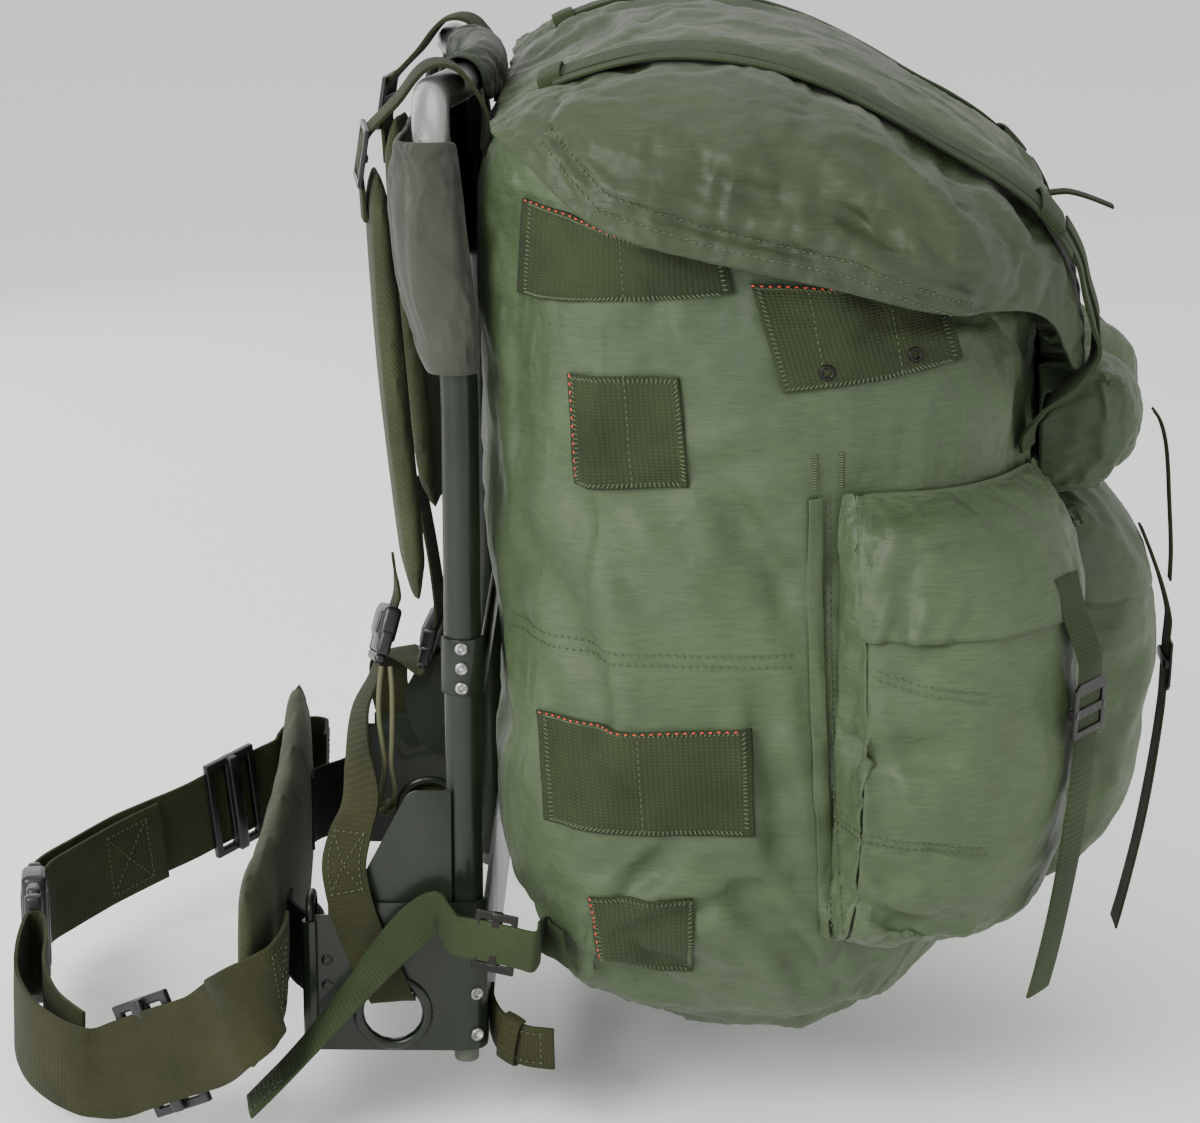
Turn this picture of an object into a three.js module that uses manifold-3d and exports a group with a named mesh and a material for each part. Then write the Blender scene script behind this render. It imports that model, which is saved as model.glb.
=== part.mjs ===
// External frame backpack: a bent tube frame with a hollow cloth bag, a lid, six outer pockets,
// two padded shoulder straps, a lumbar pad and a waist belt. Millimetres, +Z up.
// X runs from the wearer's back to the outer pockets, Y to the wearer's right.
// The model is laid out from the foot of the frame, and the last lines move its origin to the
// middle of the top bar, where the pack hangs.
import * as THREE from 'three';
import { mergeVertices } from 'three/addons/utils/BufferGeometryUtils.js';
import Module from 'manifold-3d';

const wasm = await Module();
wasm.setup();

// Driving dimensions of the frame
const TUBE_DIAMETER = 19;
const TUBE_WALL = 1.5;
const TUBE_SPACING = 292;
const TOP_BAR_HEIGHT = 505;
const TOP_BEND_RADIUS = 46;
const TOP_LEAN = 15;
const TOP_BOW = 17;
const FOOT_HEIGHT = 9;
const FOOT_DIAMETER = 13;
const PLATE = 1.6;
const CROSSBAR_HEIGHT = 30;
const CROSSBAR_CENTRE = 220;
const BAND_TOP = 92;
const WING_REACH = 78;
const HOLE_DIAMETER = 31;
const HOLE_RIM = 6;
const HOLE_X = -38;
const HOLE_Z = 31;
const SLEEVE_DIAMETER = 8.6;
const BAIL_WIRE = 4.6;
const BAIL_WIDTH = 22;
const BAIL_HEIGHT = 86;
const GUSSET_TOP = 153;
const GUSSET_BOTTOM = 66;
const GUSSET_REACH = 54;

// Driving dimensions of the bag
const BAG_BOTTOM = 10;
const BAG_HEIGHT = 484;
const BAG_FRONT = 15;
const BAG_DEPTH = 288;
const BAG_HALF_WIDTH = 213;
const RIM_DROP = 52;
const CLOTH = 2;
const POCKET_DEPTH = 46;
const MIDDLE_POCKET_DEPTH = 68;
const SMALL_POCKET_DEPTH = 64;
const LID_RISE = 35;
const LID_OVERHANG = 8;
const PATCH = 1.4;
const ENVELOPE = 2.6;

// Driving dimensions of the harness
const BELT_WIDTH = 50;
const WEBBING_WIDTH = 25;
const POCKET_WEBBING_WIDTH = 22;
const WEBBING = 2.2;
const THIN_WEBBING = 1.6;
const SHOULDER_WIDTH = 60;
const SHOULDER_THICKNESS = 12;
const SHOULDER_Y = 90;
const PAD_LENGTH = 410;
const PAD_HEIGHT = 116;
const PAD_THICKNESS = 16;
const CORD_DIAMETER = 3;

// Clearance between neighbouring pieces
const GAP = 0.3;

const TUBE_RADIUS = TUBE_DIAMETER / 2;
const TUBE_Y = TUBE_SPACING / 2;
const BAND_OUTER = TUBE_RADIUS + GAP + PLATE;
const FULL_TURN = 2 * Math.PI;
const QUARTER = Math.PI / 2;
const point = (x, y, z) => new THREE.Vector3(x, y, z);
const clamp01 = (value) => Math.min(1, Math.max(0, value));

// Colour, roughness and metalness of each finish
const FINISHES = {
  paint: [0x30382c, 0.5, 0.3],
  darkMetal: [0x33312f, 0.45, 0.8],
  plastic: [0x232021, 0.45, 0.0],
  nylon: [0x5c7052, 0.7, 0.0],
  lidNylon: [0x5f6e50, 0.7, 0.0],
  envelopeCloth: [0x696c62, 0.75, 0.0],
  webbing: [0x5f5f3c, 0.85, 0.0],
  darkWebbing: [0x465037, 0.85, 0.0],
  padCloth: [0x5a5e40, 0.8, 0.0],
};

function finish(name) {
  const [color, roughness, metalness] = FINISHES[name];
  return new THREE.MeshStandardMaterial({ color, roughness, metalness });
}

const pack = new THREE.Group();

function addPiece(name, geometry, finishName) {
  const mesh = new THREE.Mesh(geometry, finish(finishName));
  mesh.name = name;
  pack.add(mesh);
  return mesh;
}

// A closed geometry from a list of corners and triangles, turned so that its faces point out
function closedGeometry(corners, triangles) {
  let volume = 0;
  for (const [a, b, c] of triangles) {
    volume += corners[a].dot(corners[b].clone().cross(corners[c]));
  }
  const turned = volume < 0 ? triangles.map(([a, b, c]) => [a, c, b]) : triangles;
  const geometry = new THREE.BufferGeometry();
  const values = corners.flatMap((corner) => corner.toArray());
  geometry.setAttribute('position', new THREE.Float32BufferAttribute(values, 3));
  geometry.setIndex(turned.flat());
  return geometry;
}

// A solid through a row of rings with equal numbers of corners, closed at both ends
function loftRings(rings) {
  const corners = rings.flat();
  const count = rings[0].length;
  const triangles = [];
  for (let ring = 0; ring + 1 < rings.length; ring += 1) {
    for (let side = 0; side < count; side += 1) {
      const next = (side + 1) % count;
      const here = ring * count;
      const above = here + count;
      triangles.push([here + side, here + next, above + next]);
      triangles.push([here + side, above + next, above + side]);
    }
  }
  const last = (rings.length - 1) * count;
  const startCentre = corners.length;
  const middle = (ring) => ring.reduce((sum, c) => sum.add(c), point(0, 0, 0)).divideScalar(count);
  corners.push(middle(rings[0]), middle(rings[rings.length - 1]));
  for (let side = 0; side < count; side += 1) {
    const next = (side + 1) % count;
    triangles.push([startCentre, next, side]);
    triangles.push([startCentre + 1, last + side, last + next]);
  }
  return closedGeometry(corners, triangles);
}

// Unit normal of a grid of points at one of its corners
function gridNormal(rows, i, j) {
  const last = rows.length - 1;
  const end = rows[0].length - 1;
  const along = rows[Math.min(i + 1, last)][j].clone().sub(rows[Math.max(i - 1, 0)][j]);
  const across = rows[i][Math.min(j + 1, end)].clone().sub(rows[i][Math.max(j - 1, 0)]);
  return along.cross(across).normalize();
}

// A cloth panel: the grid is one face, and the other lies a wall's thickness along its normals
function clothPanel(rows, wall) {
  const width = rows[0].length;
  const count = rows.length * width;
  const back = rows.map((row, i) => row.map((corner, j) => (
    corner.clone().addScaledVector(gridNormal(rows, i, j), wall))));
  const corners = rows.flat().concat(back.flat());
  const triangles = [];
  const quad = (a, b, c, d) => triangles.push([a, b, c], [a, c, d]);
  for (let i = 0; i + 1 < rows.length; i += 1) {
    for (let j = 0; j + 1 < width; j += 1) {
      const a = i * width + j;
      quad(a, a + 1, a + 1 + width, a + width);
      quad(count + a, count + a + width, count + a + 1 + width, count + a + 1);
    }
  }
  for (let j = 0; j + 1 < width; j += 1) {
    const top = (rows.length - 1) * width + j;
    quad(j, count + j, count + j + 1, j + 1);
    quad(top, top + 1, count + top + 1, count + top);
  }
  for (let i = 0; i + 1 < rows.length; i += 1) {
    const left = i * width;
    const right = left + width - 1;
    quad(left, left + width, count + left + width, count + left);
    quad(right, count + right, count + right + width, right + width);
  }
  return closedGeometry(corners, triangles);
}

// The same grid moved by a distance along its normals
function offsetRows(rows, distance) {
  return rows.map((row, i) => row.map((corner, j) => (
    corner.clone().addScaledVector(gridNormal(rows, i, j), distance))));
}

// Stations along a smooth path, each with its point and its along, across and normal directions
function stationsAlong(rows, steps) {
  const curve = new THREE.CatmullRomCurve3(rows.map((row) => row.at), false, 'centripetal');
  const stations = [];
  for (let step = 0; step <= steps; step += 1) {
    const share = step / steps;
    const at = curve.getPoint(share);
    const along = curve.getTangent(share);
    const place = share * (rows.length - 1);
    const index = Math.min(Math.floor(place), rows.length - 2);
    const across = rows[index].across.clone().lerp(rows[index + 1].across, place - index);
    across.addScaledVector(along, -across.dot(along)).normalize();
    stations.push({ share, at, along, across, normal: along.clone().cross(across) });
  }
  return stations;
}

// A section swept through the stations; section(share) lists [across, normal] pairs
function sweep(stations, section) {
  return loftRings(stations.map((station) => section(station.share).map(([a, n]) => (
    station.at.clone().addScaledVector(station.across, a).addScaledVector(station.normal, n)))));
}

function flatSection(width, thickness) {
  const a = width / 2;
  const n = thickness / 2;
  return () => [[-a, -n], [a, -n], [a, n], [-a, n]];
}

function webbingStrap(rows, width, thickness, steps) {
  return sweep(stationsAlong(rows, steps), flatSection(width, thickness));
}

// Route rows of a strap whose across direction is the same all the way
function routeRows(points, across) {
  return points.map(([x, y, z]) => ({ at: point(x, y, z), across: across.clone() }));
}

// Mirror image on the wearer's other side
function mirroredGeometry(geometry) {
  const mirrored = geometry.clone();
  mirrored.scale(1, -1, 1);
  const index = mirrored.getIndex().array;
  const turned = [];
  for (let k = 0; k < index.length; k += 3) {
    turned.push(index[k], index[k + 2], index[k + 1]);
  }
  mirrored.setIndex(turned);
  return mirrored;
}

// Solids for cutting and joining
function toSolid(geometry) {
  const bare = geometry.clone();
  bare.deleteAttribute('normal');
  bare.deleteAttribute('uv');
  const merged = mergeVertices(bare, 1e-4);
  return new wasm.Manifold(new wasm.Mesh({
    numProp: 3,
    vertProperties: new Float32Array(merged.attributes.position.array),
    triVerts: new Uint32Array(merged.index.array),
  }));
}

function fromSolid(solid) {
  const { vertProperties, triVerts } = solid.getMesh();
  const geometry = new THREE.BufferGeometry();
  geometry.setAttribute('position', new THREE.BufferAttribute(vertProperties, 3));
  geometry.setIndex(new THREE.BufferAttribute(triVerts, 1));
  return geometry;
}

function boxSolid(size, centre) {
  const box = new THREE.BoxGeometry(...size);
  box.translate(...centre);
  return toSolid(box);
}

// Frame tube: up one side, leaning to the wearer near the top, across a bowed top bar and down
const topBarX = (y) => TOP_BOW - TOP_LEAN - TOP_BOW * (y / (TUBE_Y - TOP_BEND_RADIUS)) ** 2;

function tubeSideX(z) {
  const bendStart = TOP_BAR_HEIGHT - 3.2 * TOP_BEND_RADIUS;
  const share = clamp01((z - bendStart) / (TOP_BAR_HEIGHT - bendStart));
  return -TOP_LEAN * share ** 1.35;
}

function tubePath() {
  const side = [];
  const straightTop = TOP_BAR_HEIGHT - TOP_BEND_RADIUS;
  for (const share of [0, 0.35, 0.68, 0.78, 0.86, 0.93, 1]) {
    const z = FOOT_HEIGHT + GAP + share * (straightTop - FOOT_HEIGHT - GAP);
    side.push(point(tubeSideX(z), -TUBE_Y, z));
  }
  for (const angle of [0.22, 0.44, 0.66, 0.88]) {
    const turn = angle * QUARTER;
    const y = -TUBE_Y + TOP_BEND_RADIUS * (1 - Math.cos(turn));
    const z = straightTop + TOP_BEND_RADIUS * Math.sin(turn);
    side.push(point(tubeSideX(z), y, z));
  }
  for (const y of [-94, -70, -45, -20]) {
    side.push(point(topBarX(y), y, TOP_BAR_HEIGHT));
  }
  const middle = point(topBarX(0), 0, TOP_BAR_HEIGHT);
  const other = side.map((p) => point(p.x, -p.y, p.z)).reverse();
  return side.concat([middle], other);
}

function frameTube() {
  const section = new THREE.Shape();
  section.absarc(0, 0, TUBE_RADIUS, 0, FULL_TURN, false);
  const bore = new THREE.Path();
  bore.absarc(0, 0, TUBE_RADIUS - TUBE_WALL, 0, FULL_TURN, true);
  section.holes.push(bore);
  const path = new THREE.CatmullRomCurve3(tubePath(), false, 'centripetal');
  return new THREE.ExtrudeGeometry(section, {
    steps: 30, curveSegments: 5, bevelEnabled: false, extrudePath: path,
  });
}
addPiece('frame_tube', frameTube(), 'paint');

function foot() {
  const stem = TUBE_RADIUS - TUBE_WALL - 2 * GAP;
  const head = FOOT_DIAMETER / 2;
  const stemLength = 12;
  const profile = [
    [0, 0], [head - 1, 0], [head, 1], [head, FOOT_HEIGHT],
    [stem, FOOT_HEIGHT + 0.01], [stem, FOOT_HEIGHT + stemLength], [0, FOOT_HEIGHT + stemLength],
  ].map(([r, z]) => new THREE.Vector2(r, z));
  const lathe = new THREE.LatheGeometry(profile, 16);
  lathe.rotateX(QUARTER);
  return lathe;
}
for (const [side, sign] of [['left', -1], ['right', 1]]) {
  const mesh = addPiece(`foot_${side}`, foot(), 'plastic');
  mesh.position.set(0, sign * TUBE_Y, 0);
}

// Plan path of a strip that crosses behind the tubes and turns round the outside of each one
function wrapPlan(endTurn) {
  const radius = TUBE_RADIUS + GAP;
  const half = [[radius, 0], [radius, -TUBE_Y * 0.5], [radius, -TUBE_Y]];
  for (let step = 1; step <= 6; step += 1) {
    const turn = (step / 6) * endTurn;
    half.push([radius * Math.cos(turn), -TUBE_Y - radius * Math.sin(turn)]);
  }
  return half;
}

function fullPlan(half) {
  const other = half.slice(1).map(([x, y]) => [x, -y]).reverse();
  return other.concat(half);
}

function upperCrossbar() {
  const plan = fullPlan(wrapPlan(0.93 * Math.PI));
  const low = CROSSBAR_CENTRE - CROSSBAR_HEIGHT / 2;
  const rows = [low, low + CROSSBAR_HEIGHT].map((z) => plan.map(([x, y]) => point(x, y, z)));
  return clothPanel(rows, PLATE);
}
addPiece('upper_crossbar', upperCrossbar(), 'paint');

// Lumbar band: the same kind of strip, whose ends run forward as wings with a rimmed hole each
const SLEEVE_X = -WING_REACH - SLEEVE_DIAMETER / 2 + PLATE;
const SLEEVE_Z = HOLE_Z + 18;
const SLEEVE_LENGTH = 66;
const WING_CUT = 30;

function lumbarBand() {
  const half = wrapPlan(QUARTER);
  const wingY = -TUBE_Y - TUBE_RADIUS - GAP;
  half.push([-WING_REACH * 0.5, wingY], [-WING_REACH, wingY]);
  const plan = fullPlan(half);
  const rows = [FOOT_HEIGHT + GAP, BAND_TOP].map((z) => plan.map(([x, y]) => point(x, y, z)));
  let band = toSolid(clothPanel(rows, PLATE));
  for (const sign of [-1, 1]) {
    const faceY = sign * (TUBE_Y + BAND_OUTER - PLATE / 2);
    const rim = new THREE.TorusGeometry(HOLE_DIAMETER / 2 + HOLE_RIM / 2, HOLE_RIM / 2 - 0.4, 6, 14);
    rim.rotateX(QUARTER);
    rim.translate(HOLE_X, faceY, HOLE_Z);
    const bore = new THREE.CylinderGeometry(HOLE_DIAMETER / 2, HOLE_DIAMETER / 2, WING_CUT, 16);
    bore.translate(HOLE_X, faceY, HOLE_Z);
    const sleeve = new THREE.CylinderGeometry(SLEEVE_DIAMETER / 2, SLEEVE_DIAMETER / 2, SLEEVE_LENGTH, 8);
    sleeve.rotateX(QUARTER);
    sleeve.translate(SLEEVE_X, faceY, SLEEVE_Z);
    const wireRadius = BAIL_WIRE / 2 + GAP;
    const sleeveBore = new THREE.CylinderGeometry(wireRadius, wireRadius, 2 * SLEEVE_LENGTH, 8);
    sleeveBore.rotateX(QUARTER);
    sleeveBore.translate(SLEEVE_X, faceY, SLEEVE_Z);
    const corner = boxSolid(
      [WING_CUT, WING_CUT, WING_CUT], [-WING_REACH - 8, faceY, BAND_TOP + 8],
    );
    band = band.subtract(corner).add(toSolid(rim)).add(toSolid(sleeve));
    band = band.subtract(toSolid(bore)).subtract(toSolid(sleeveBore));
  }
  return fromSolid(band);
}
addPiece('lumbar_band', lumbarBand(), 'paint');

// Gusset: a plate inside the wing that rises along the tube, with a rounded heel
const GUSSET_INNER_Y = TUBE_Y + BAND_OUTER - 2 * PLATE - GAP;

function gusset(sign) {
  const y = sign * GUSSET_INNER_Y;
  const reach = Math.abs(GUSSET_INNER_Y - TUBE_Y);
  const edgeX = -Math.sqrt(Math.max((TUBE_RADIUS + GAP) ** 2 - reach ** 2, 4)) - GAP;
  const shape = new THREE.Shape();
  const height = GUSSET_TOP - GUSSET_BOTTOM;
  shape.moveTo(edgeX, GUSSET_BOTTOM + 0.14 * height);
  shape.lineTo(edgeX, GUSSET_TOP);
  shape.lineTo(-0.44 * GUSSET_REACH, GUSSET_TOP);
  shape.quadraticCurveTo(-0.52 * GUSSET_REACH, GUSSET_TOP, -0.56 * GUSSET_REACH, GUSSET_TOP - 4);
  shape.lineTo(-GUSSET_REACH, GUSSET_BOTTOM + 0.43 * height);
  shape.quadraticCurveTo(
    -0.9 * GUSSET_REACH, GUSSET_BOTTOM, -0.5 * GUSSET_REACH, GUSSET_BOTTOM,
  );
  shape.quadraticCurveTo(-0.25 * GUSSET_REACH, GUSSET_BOTTOM, edgeX, GUSSET_BOTTOM + 0.14 * height);
  const plate = new THREE.ExtrudeGeometry(shape, { depth: PLATE, curveSegments: 6, bevelEnabled: false });
  plate.rotateX(QUARTER);
  plate.translate(0, sign > 0 ? y + PLATE : y, 0);
  return plate;
}
addPiece('gusset_left', gusset(-1), 'paint');
addPiece('gusset_right', gusset(1), 'paint');

// Wire bail: a rounded loop whose outer leg turns in the sleeve of the wing
const BAIL_OUTER_Y = TUBE_Y + BAND_OUTER - PLATE / 2;

function bail(sign) {
  const corner = 7;
  const low = SLEEVE_Z - BAIL_HEIGHT / 2;
  const high = low + BAIL_HEIGHT;
  const outer = BAIL_OUTER_Y - corner;
  const inner = BAIL_OUTER_Y - BAIL_WIDTH + corner;
  const bends = [
    { y: outer, z: high - corner, from: 0 },
    { y: inner, z: high - corner, from: QUARTER },
    { y: inner, z: low + corner, from: Math.PI },
    { y: outer, z: low + corner, from: 3 * QUARTER },
  ];
  const rings = [];
  for (const bend of bends) {
    for (let step = 0; step <= 2; step += 1) {
      const turn = bend.from + (step / 2) * QUARTER;
      const out = point(0, sign * Math.cos(turn), Math.sin(turn));
      const at = point(SLEEVE_X, sign * bend.y, bend.z).addScaledVector(out, corner);
      rings.push(wireRing(at, point(1, 0, 0), out, BAIL_WIRE / 2));
    }
  }
  return closedLoop(rings);
}

// Round section of a wire, in the plane of two directions
function wireRing(at, side, out, radius) {
  const ring = [];
  for (let k = 0; k < 6; k += 1) {
    const turn = (k / 6) * FULL_TURN;
    ring.push(at.clone()
      .addScaledVector(side, radius * Math.cos(turn))
      .addScaledVector(out, radius * Math.sin(turn)));
  }
  return ring;
}

// A solid through rings that follow each other in a loop
function closedLoop(rings) {
  const corners = rings.flat();
  const count = rings[0].length;
  const triangles = [];
  for (let ring = 0; ring < rings.length; ring += 1) {
    const here = ring * count;
    const above = ((ring + 1) % rings.length) * count;
    for (let side = 0; side < count; side += 1) {
      const next = (side + 1) % count;
      triangles.push([here + side, here + next, above + next]);
      triangles.push([here + side, above + next, above + side]);
    }
  }
  return closedGeometry(corners, triangles);
}
addPiece('bail_left', bail(-1), 'darkMetal');
addPiece('bail_right', bail(1), 'darkMetal');

// Bag form: each row gives a level and how far the front, rear and sides stand at that level,
// as shares of the bag's height, depth and half width
const BAG_SECTIONS = [
  { level: 0.0, front: 0.22, rear: 0.62, side: 0.62 },
  { level: 0.04, front: 0.12, rear: 0.76, side: 0.82 },
  { level: 0.11, front: 0.055, rear: 0.88, side: 0.93 },
  { level: 0.22, front: 0.015, rear: 0.965, side: 0.985 },
  { level: 0.4, front: 0.0, rear: 1.0, side: 1.0 },
  { level: 0.76, front: -0.005, rear: 0.995, side: 0.99 },
  { level: 0.87, front: -0.012, rear: 0.97, side: 0.97 },
  { level: 0.95, front: -0.006, rear: 0.93, side: 0.93 },
  { level: 1.0, front: 0.02, rear: 0.87, side: 0.86 },
];
const BAG_COLUMNS = 36;
const FRONT_SQUARENESS = 4.2;
const REAR_SQUARENESS = 2.6;
const WAIST_SHARE = 0.5;

function sectionAt(level) {
  let index = 0;
  while (index < BAG_SECTIONS.length - 2 && level > BAG_SECTIONS[index + 1].level) {
    index += 1;
  }
  const low = BAG_SECTIONS[index];
  const high = BAG_SECTIONS[index + 1];
  const share = (level - low.level) / (high.level - low.level);
  const mix = (key) => low[key] + (high[key] - low[key]) * share;
  return { front: mix('front'), rear: mix('rear'), side: mix('side') };
}

// Point on the bag at a level and an angle round it, 0 at the rear and a half turn at the frame
function bagPoint(level, angle, inset = 0) {
  const section = sectionAt(level);
  const front = BAG_FRONT + section.front * BAG_DEPTH + inset;
  const rear = BAG_FRONT + section.rear * BAG_DEPTH - inset;
  const half = section.side * BAG_HALF_WIDTH - inset;
  const waist = BAG_FRONT + WAIST_SHARE * BAG_DEPTH;
  const cos = Math.cos(angle);
  const sin = Math.sin(angle);
  const squareness = cos < 0 ? FRONT_SQUARENESS : REAR_SQUARENESS;
  const reach = cos < 0 ? waist - front : rear - waist;
  const x = waist + Math.sign(cos) * reach * Math.abs(cos) ** (2 / squareness);
  const y = Math.sign(sin) * half * Math.abs(sin) ** (2 / squareness);
  const slope = (x - BAG_FRONT) / BAG_DEPTH;
  const z = BAG_BOTTOM + level * BAG_HEIGHT - RIM_DROP * slope * level ** 3;
  return point(x, y, z);
}

// The same point on the bag's flat facets, between two of its columns
function facetPoint(level, angle) {
  const step = FULL_TURN / BAG_COLUMNS;
  const column = Math.floor(angle / step);
  const start = bagPoint(level, column * step);
  return start.lerp(bagPoint(level, (column + 1) * step), angle / step - column);
}

function bagNormal(level, angle) {
  const step = 0.02;
  const up = Math.min(level + step, 1);
  const down = Math.max(level - step, 0.02);
  const along = bagPoint(up, angle).sub(bagPoint(down, angle));
  const round = bagPoint(level, angle + step).sub(bagPoint(level, angle - step));
  return round.cross(along).normalize();
}

const onBag = (level, angle, lift) => (
  bagPoint(level, angle).addScaledVector(bagNormal(level, angle), lift));

function bagBody() {
  const ringAt = (level, inset, raise) => {
    const ring = [];
    for (let k = 0; k < BAG_COLUMNS; k += 1) {
      const corner = bagPoint(level, (k / BAG_COLUMNS) * FULL_TURN, inset);
      corner.z += raise;
      ring.push(corner);
    }
    return ring;
  };
  const outside = BAG_SECTIONS.map(({ level }) => ringAt(level, 0, 0));
  const inside = BAG_SECTIONS.map(({ level }) => ringAt(level, CLOTH, level === 0 ? CLOTH : 0));
  return loftRings(outside.concat(inside.reverse()));
}
addPiece('bag_body', bagBody(), 'nylon');

// Levels and angles of a panel on the bag, with the bag's own rows and columns between its ends
function levelsBetween(low, high, extra = []) {
  const inside = BAG_SECTIONS.map(({ level }) => level).concat(extra);
  const kept = inside.filter((level) => level > low + 0.004 && level < high - 0.004);
  return [low, ...kept.sort((a, b) => a - b), high];
}

function anglesBetween(from, to, divisions) {
  const step = FULL_TURN / BAG_COLUMNS / divisions;
  const angles = [from];
  for (let k = Math.ceil((from + 1e-3) / step); k * step < to - 1e-3; k += 1) {
    angles.push(k * step);
  }
  angles.push(to);
  return angles;
}

const degrees = (value) => (value / 360) * FULL_TURN;

// Pockets: pouches that stand out from the bag between two levels and two angles
const POCKETS = [
  { name: 'pocket_left', low: 0.17, high: 0.665, from: -82.5, to: -27, depth: POCKET_DEPTH, strap: -46 },
  { name: 'pocket_middle', low: 0.13, high: 0.6, from: -16, to: 16, depth: MIDDLE_POCKET_DEPTH, strap: 0 },
  { name: 'pocket_right', low: 0.17, high: 0.665, from: 27, to: 82.5, depth: POCKET_DEPTH, strap: 46 },
];
const SMALL_POCKETS = [
  { name: 'small_pocket_left', low: 0.62, high: 0.79, from: -21.5, to: -7.8, depth: SMALL_POCKET_DEPTH },
  { name: 'small_pocket_middle', low: 0.62, high: 0.79, from: -6.6, to: 6.6, depth: SMALL_POCKET_DEPTH },
  { name: 'small_pocket_right', low: 0.62, high: 0.79, from: 7.8, to: 21.5, depth: SMALL_POCKET_DEPTH },
];

const rounded = (share, power) => (1 - Math.abs(2 * share - 1) ** power) ** (1 / power);

// How far a pocket stands out at a place on it: full in the lower half, drawn in at its edges
function pocketLift(pocket, level, angle) {
  const u = clamp01((angle - degrees(pocket.from)) / degrees(pocket.to - pocket.from));
  const v = clamp01((level - pocket.low) / (pocket.high - pocket.low));
  const lean = v ** 0.9;
  return pocket.depth * rounded(u, 2.8) * rounded(lean, 2.6);
}

function pocketRows(pocket, levels, lift) {
  const angles = anglesBetween(degrees(pocket.from), degrees(pocket.to), 1);
  const span = degrees(pocket.to - pocket.from);
  const edge = [0.05, 0.95].map((share) => degrees(pocket.from) + share * span);
  const columns = angles.concat(edge).sort((a, b) => a - b);
  return levels.map((level) => columns.map((angle) => (
    onBag(level, angle, lift + pocketLift(pocket, level, angle)))));
}

function pocketLevels(pocket) {
  const span = pocket.high - pocket.low;
  const extra = [0.05, 0.3, 0.72, 0.95].map((share) => pocket.low + share * span);
  return levelsBetween(pocket.low, pocket.high, extra);
}

function pocketBody(pocket) {
  return clothPanel(pocketRows(pocket, pocketLevels(pocket), GAP + CLOTH), CLOTH);
}

for (const pocket of POCKETS.concat(SMALL_POCKETS)) {
  addPiece(pocket.name, pocketBody(pocket), 'nylon');
}

// Flap of a large pocket: sewn above it and lying on its upper half
const FLAP_SHARE = 0.42;
const FLAP_HEAD = 0.012;

function pocketFlap(pocket) {
  const levels = pocketLevels(pocket);
  const hem = pocket.high - FLAP_SHARE * (pocket.high - pocket.low);
  const body = offsetRows(pocketRows(pocket, levels, GAP + CLOTH), -GAP - 0.3);
  const rows = body.filter((row, index) => levels[index] > hem);
  const head = pocketRows(pocket, [pocket.high + FLAP_HEAD], 2 * GAP + 0.3);
  return clothPanel(rows.concat(head), -CLOTH);
}

for (const pocket of POCKETS) {
  addPiece(pocket.name.replace('pocket', 'pocket_flap'), pocketFlap(pocket), 'nylon');
}

// Lid: rows run from the frame side over the top and down the rear; each gives the height of its
// middle and the place of its hem, as shares of the bag's depth and height and of half its width
const LID_ROWS = [
  { top: 0.01, crown: 0.0, hemX: 0.012, hemDrop: 0.0, half: 0.80 },
  { top: 0.1, crown: 0.5, hemX: 0.09, hemDrop: 0.02, half: 0.93 },
  { top: 0.19, crown: 0.8, hemX: 0.16, hemDrop: 0.065, half: 1.0 },
  { top: 0.3, crown: 0.98, hemX: 0.26, hemDrop: 0.087, half: 1.02 },
  { top: 0.42, crown: 0.95, hemX: 0.38, hemDrop: 0.103, half: 1.025 },
  { top: 0.54, crown: 0.7, hemX: 0.5, hemDrop: 0.118, half: 1.025 },
  { top: 0.66, crown: 0.25, hemX: 0.63, hemDrop: 0.135, half: 1.02 },
  { top: 0.79, crown: -0.35, hemX: 0.75, hemDrop: 0.16, half: 0.98 },
  { top: 0.92, crown: -0.95, hemX: 0.85, hemDrop: 0.165, half: 0.86 },
  { top: 1.01, crown: -1.75, hemX: 0.95, hemDrop: 0.178, half: 0.68 },
  { top: 1.04, crown: -2.5, hemX: 0.995, hemDrop: 0.215, half: 0.6 },
  { top: 1.05, crown: -3.35, hemX: 1.02, hemDrop: 0.26, half: 0.56 },
];
const LID_COLUMNS = 12;
const LID_SQUARENESS = 3.2;
const RIM_TOP = BAG_BOTTOM + BAG_HEIGHT;
const LID_BASE = RIM_TOP + GAP;

// A place on the lid's inner face: share runs along the rows and turn from hem to hem, -1 to 1
function lidPoint(row, turn) {
  const topZ = LID_BASE + row.crown * LID_RISE;
  const hemZ = LID_BASE - row.hemDrop * BAG_HEIGHT;
  const angle = turn * QUARTER;
  const sin = Math.sign(turn) * Math.abs(Math.sin(angle)) ** (2 / LID_SQUARENESS);
  const cos = Math.max(Math.cos(angle), 0) ** (2 / LID_SQUARENESS);
  const x = BAG_FRONT + BAG_DEPTH * (row.hemX + (row.top - row.hemX) * cos);
  const overhang = row.hemDrop > 0.03 ? LID_OVERHANG : 0;
  return point(x, sin * (row.half * BAG_HALF_WIDTH + overhang), hemZ + (topZ - hemZ) * cos);
}

function lid() {
  const rows = LID_ROWS.map((row) => {
    const line = [];
    for (let k = 0; k <= LID_COLUMNS; k += 1) {
      line.push(lidPoint(row, (2 * k) / LID_COLUMNS - 1));
    }
    return line;
  });
  return clothPanel(rows, CLOTH);
}
addPiece('lid', lid(), 'lidNylon');

// Envelope: the cloth sleeve over the upper corners of the frame, open where the tube shows
const ENVELOPE_BOTTOM = 374;
const ENVELOPE_ROWS = [0, 0.3, 0.6, 0.84, 1];
const ENVELOPE_TOP = 488;

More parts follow.
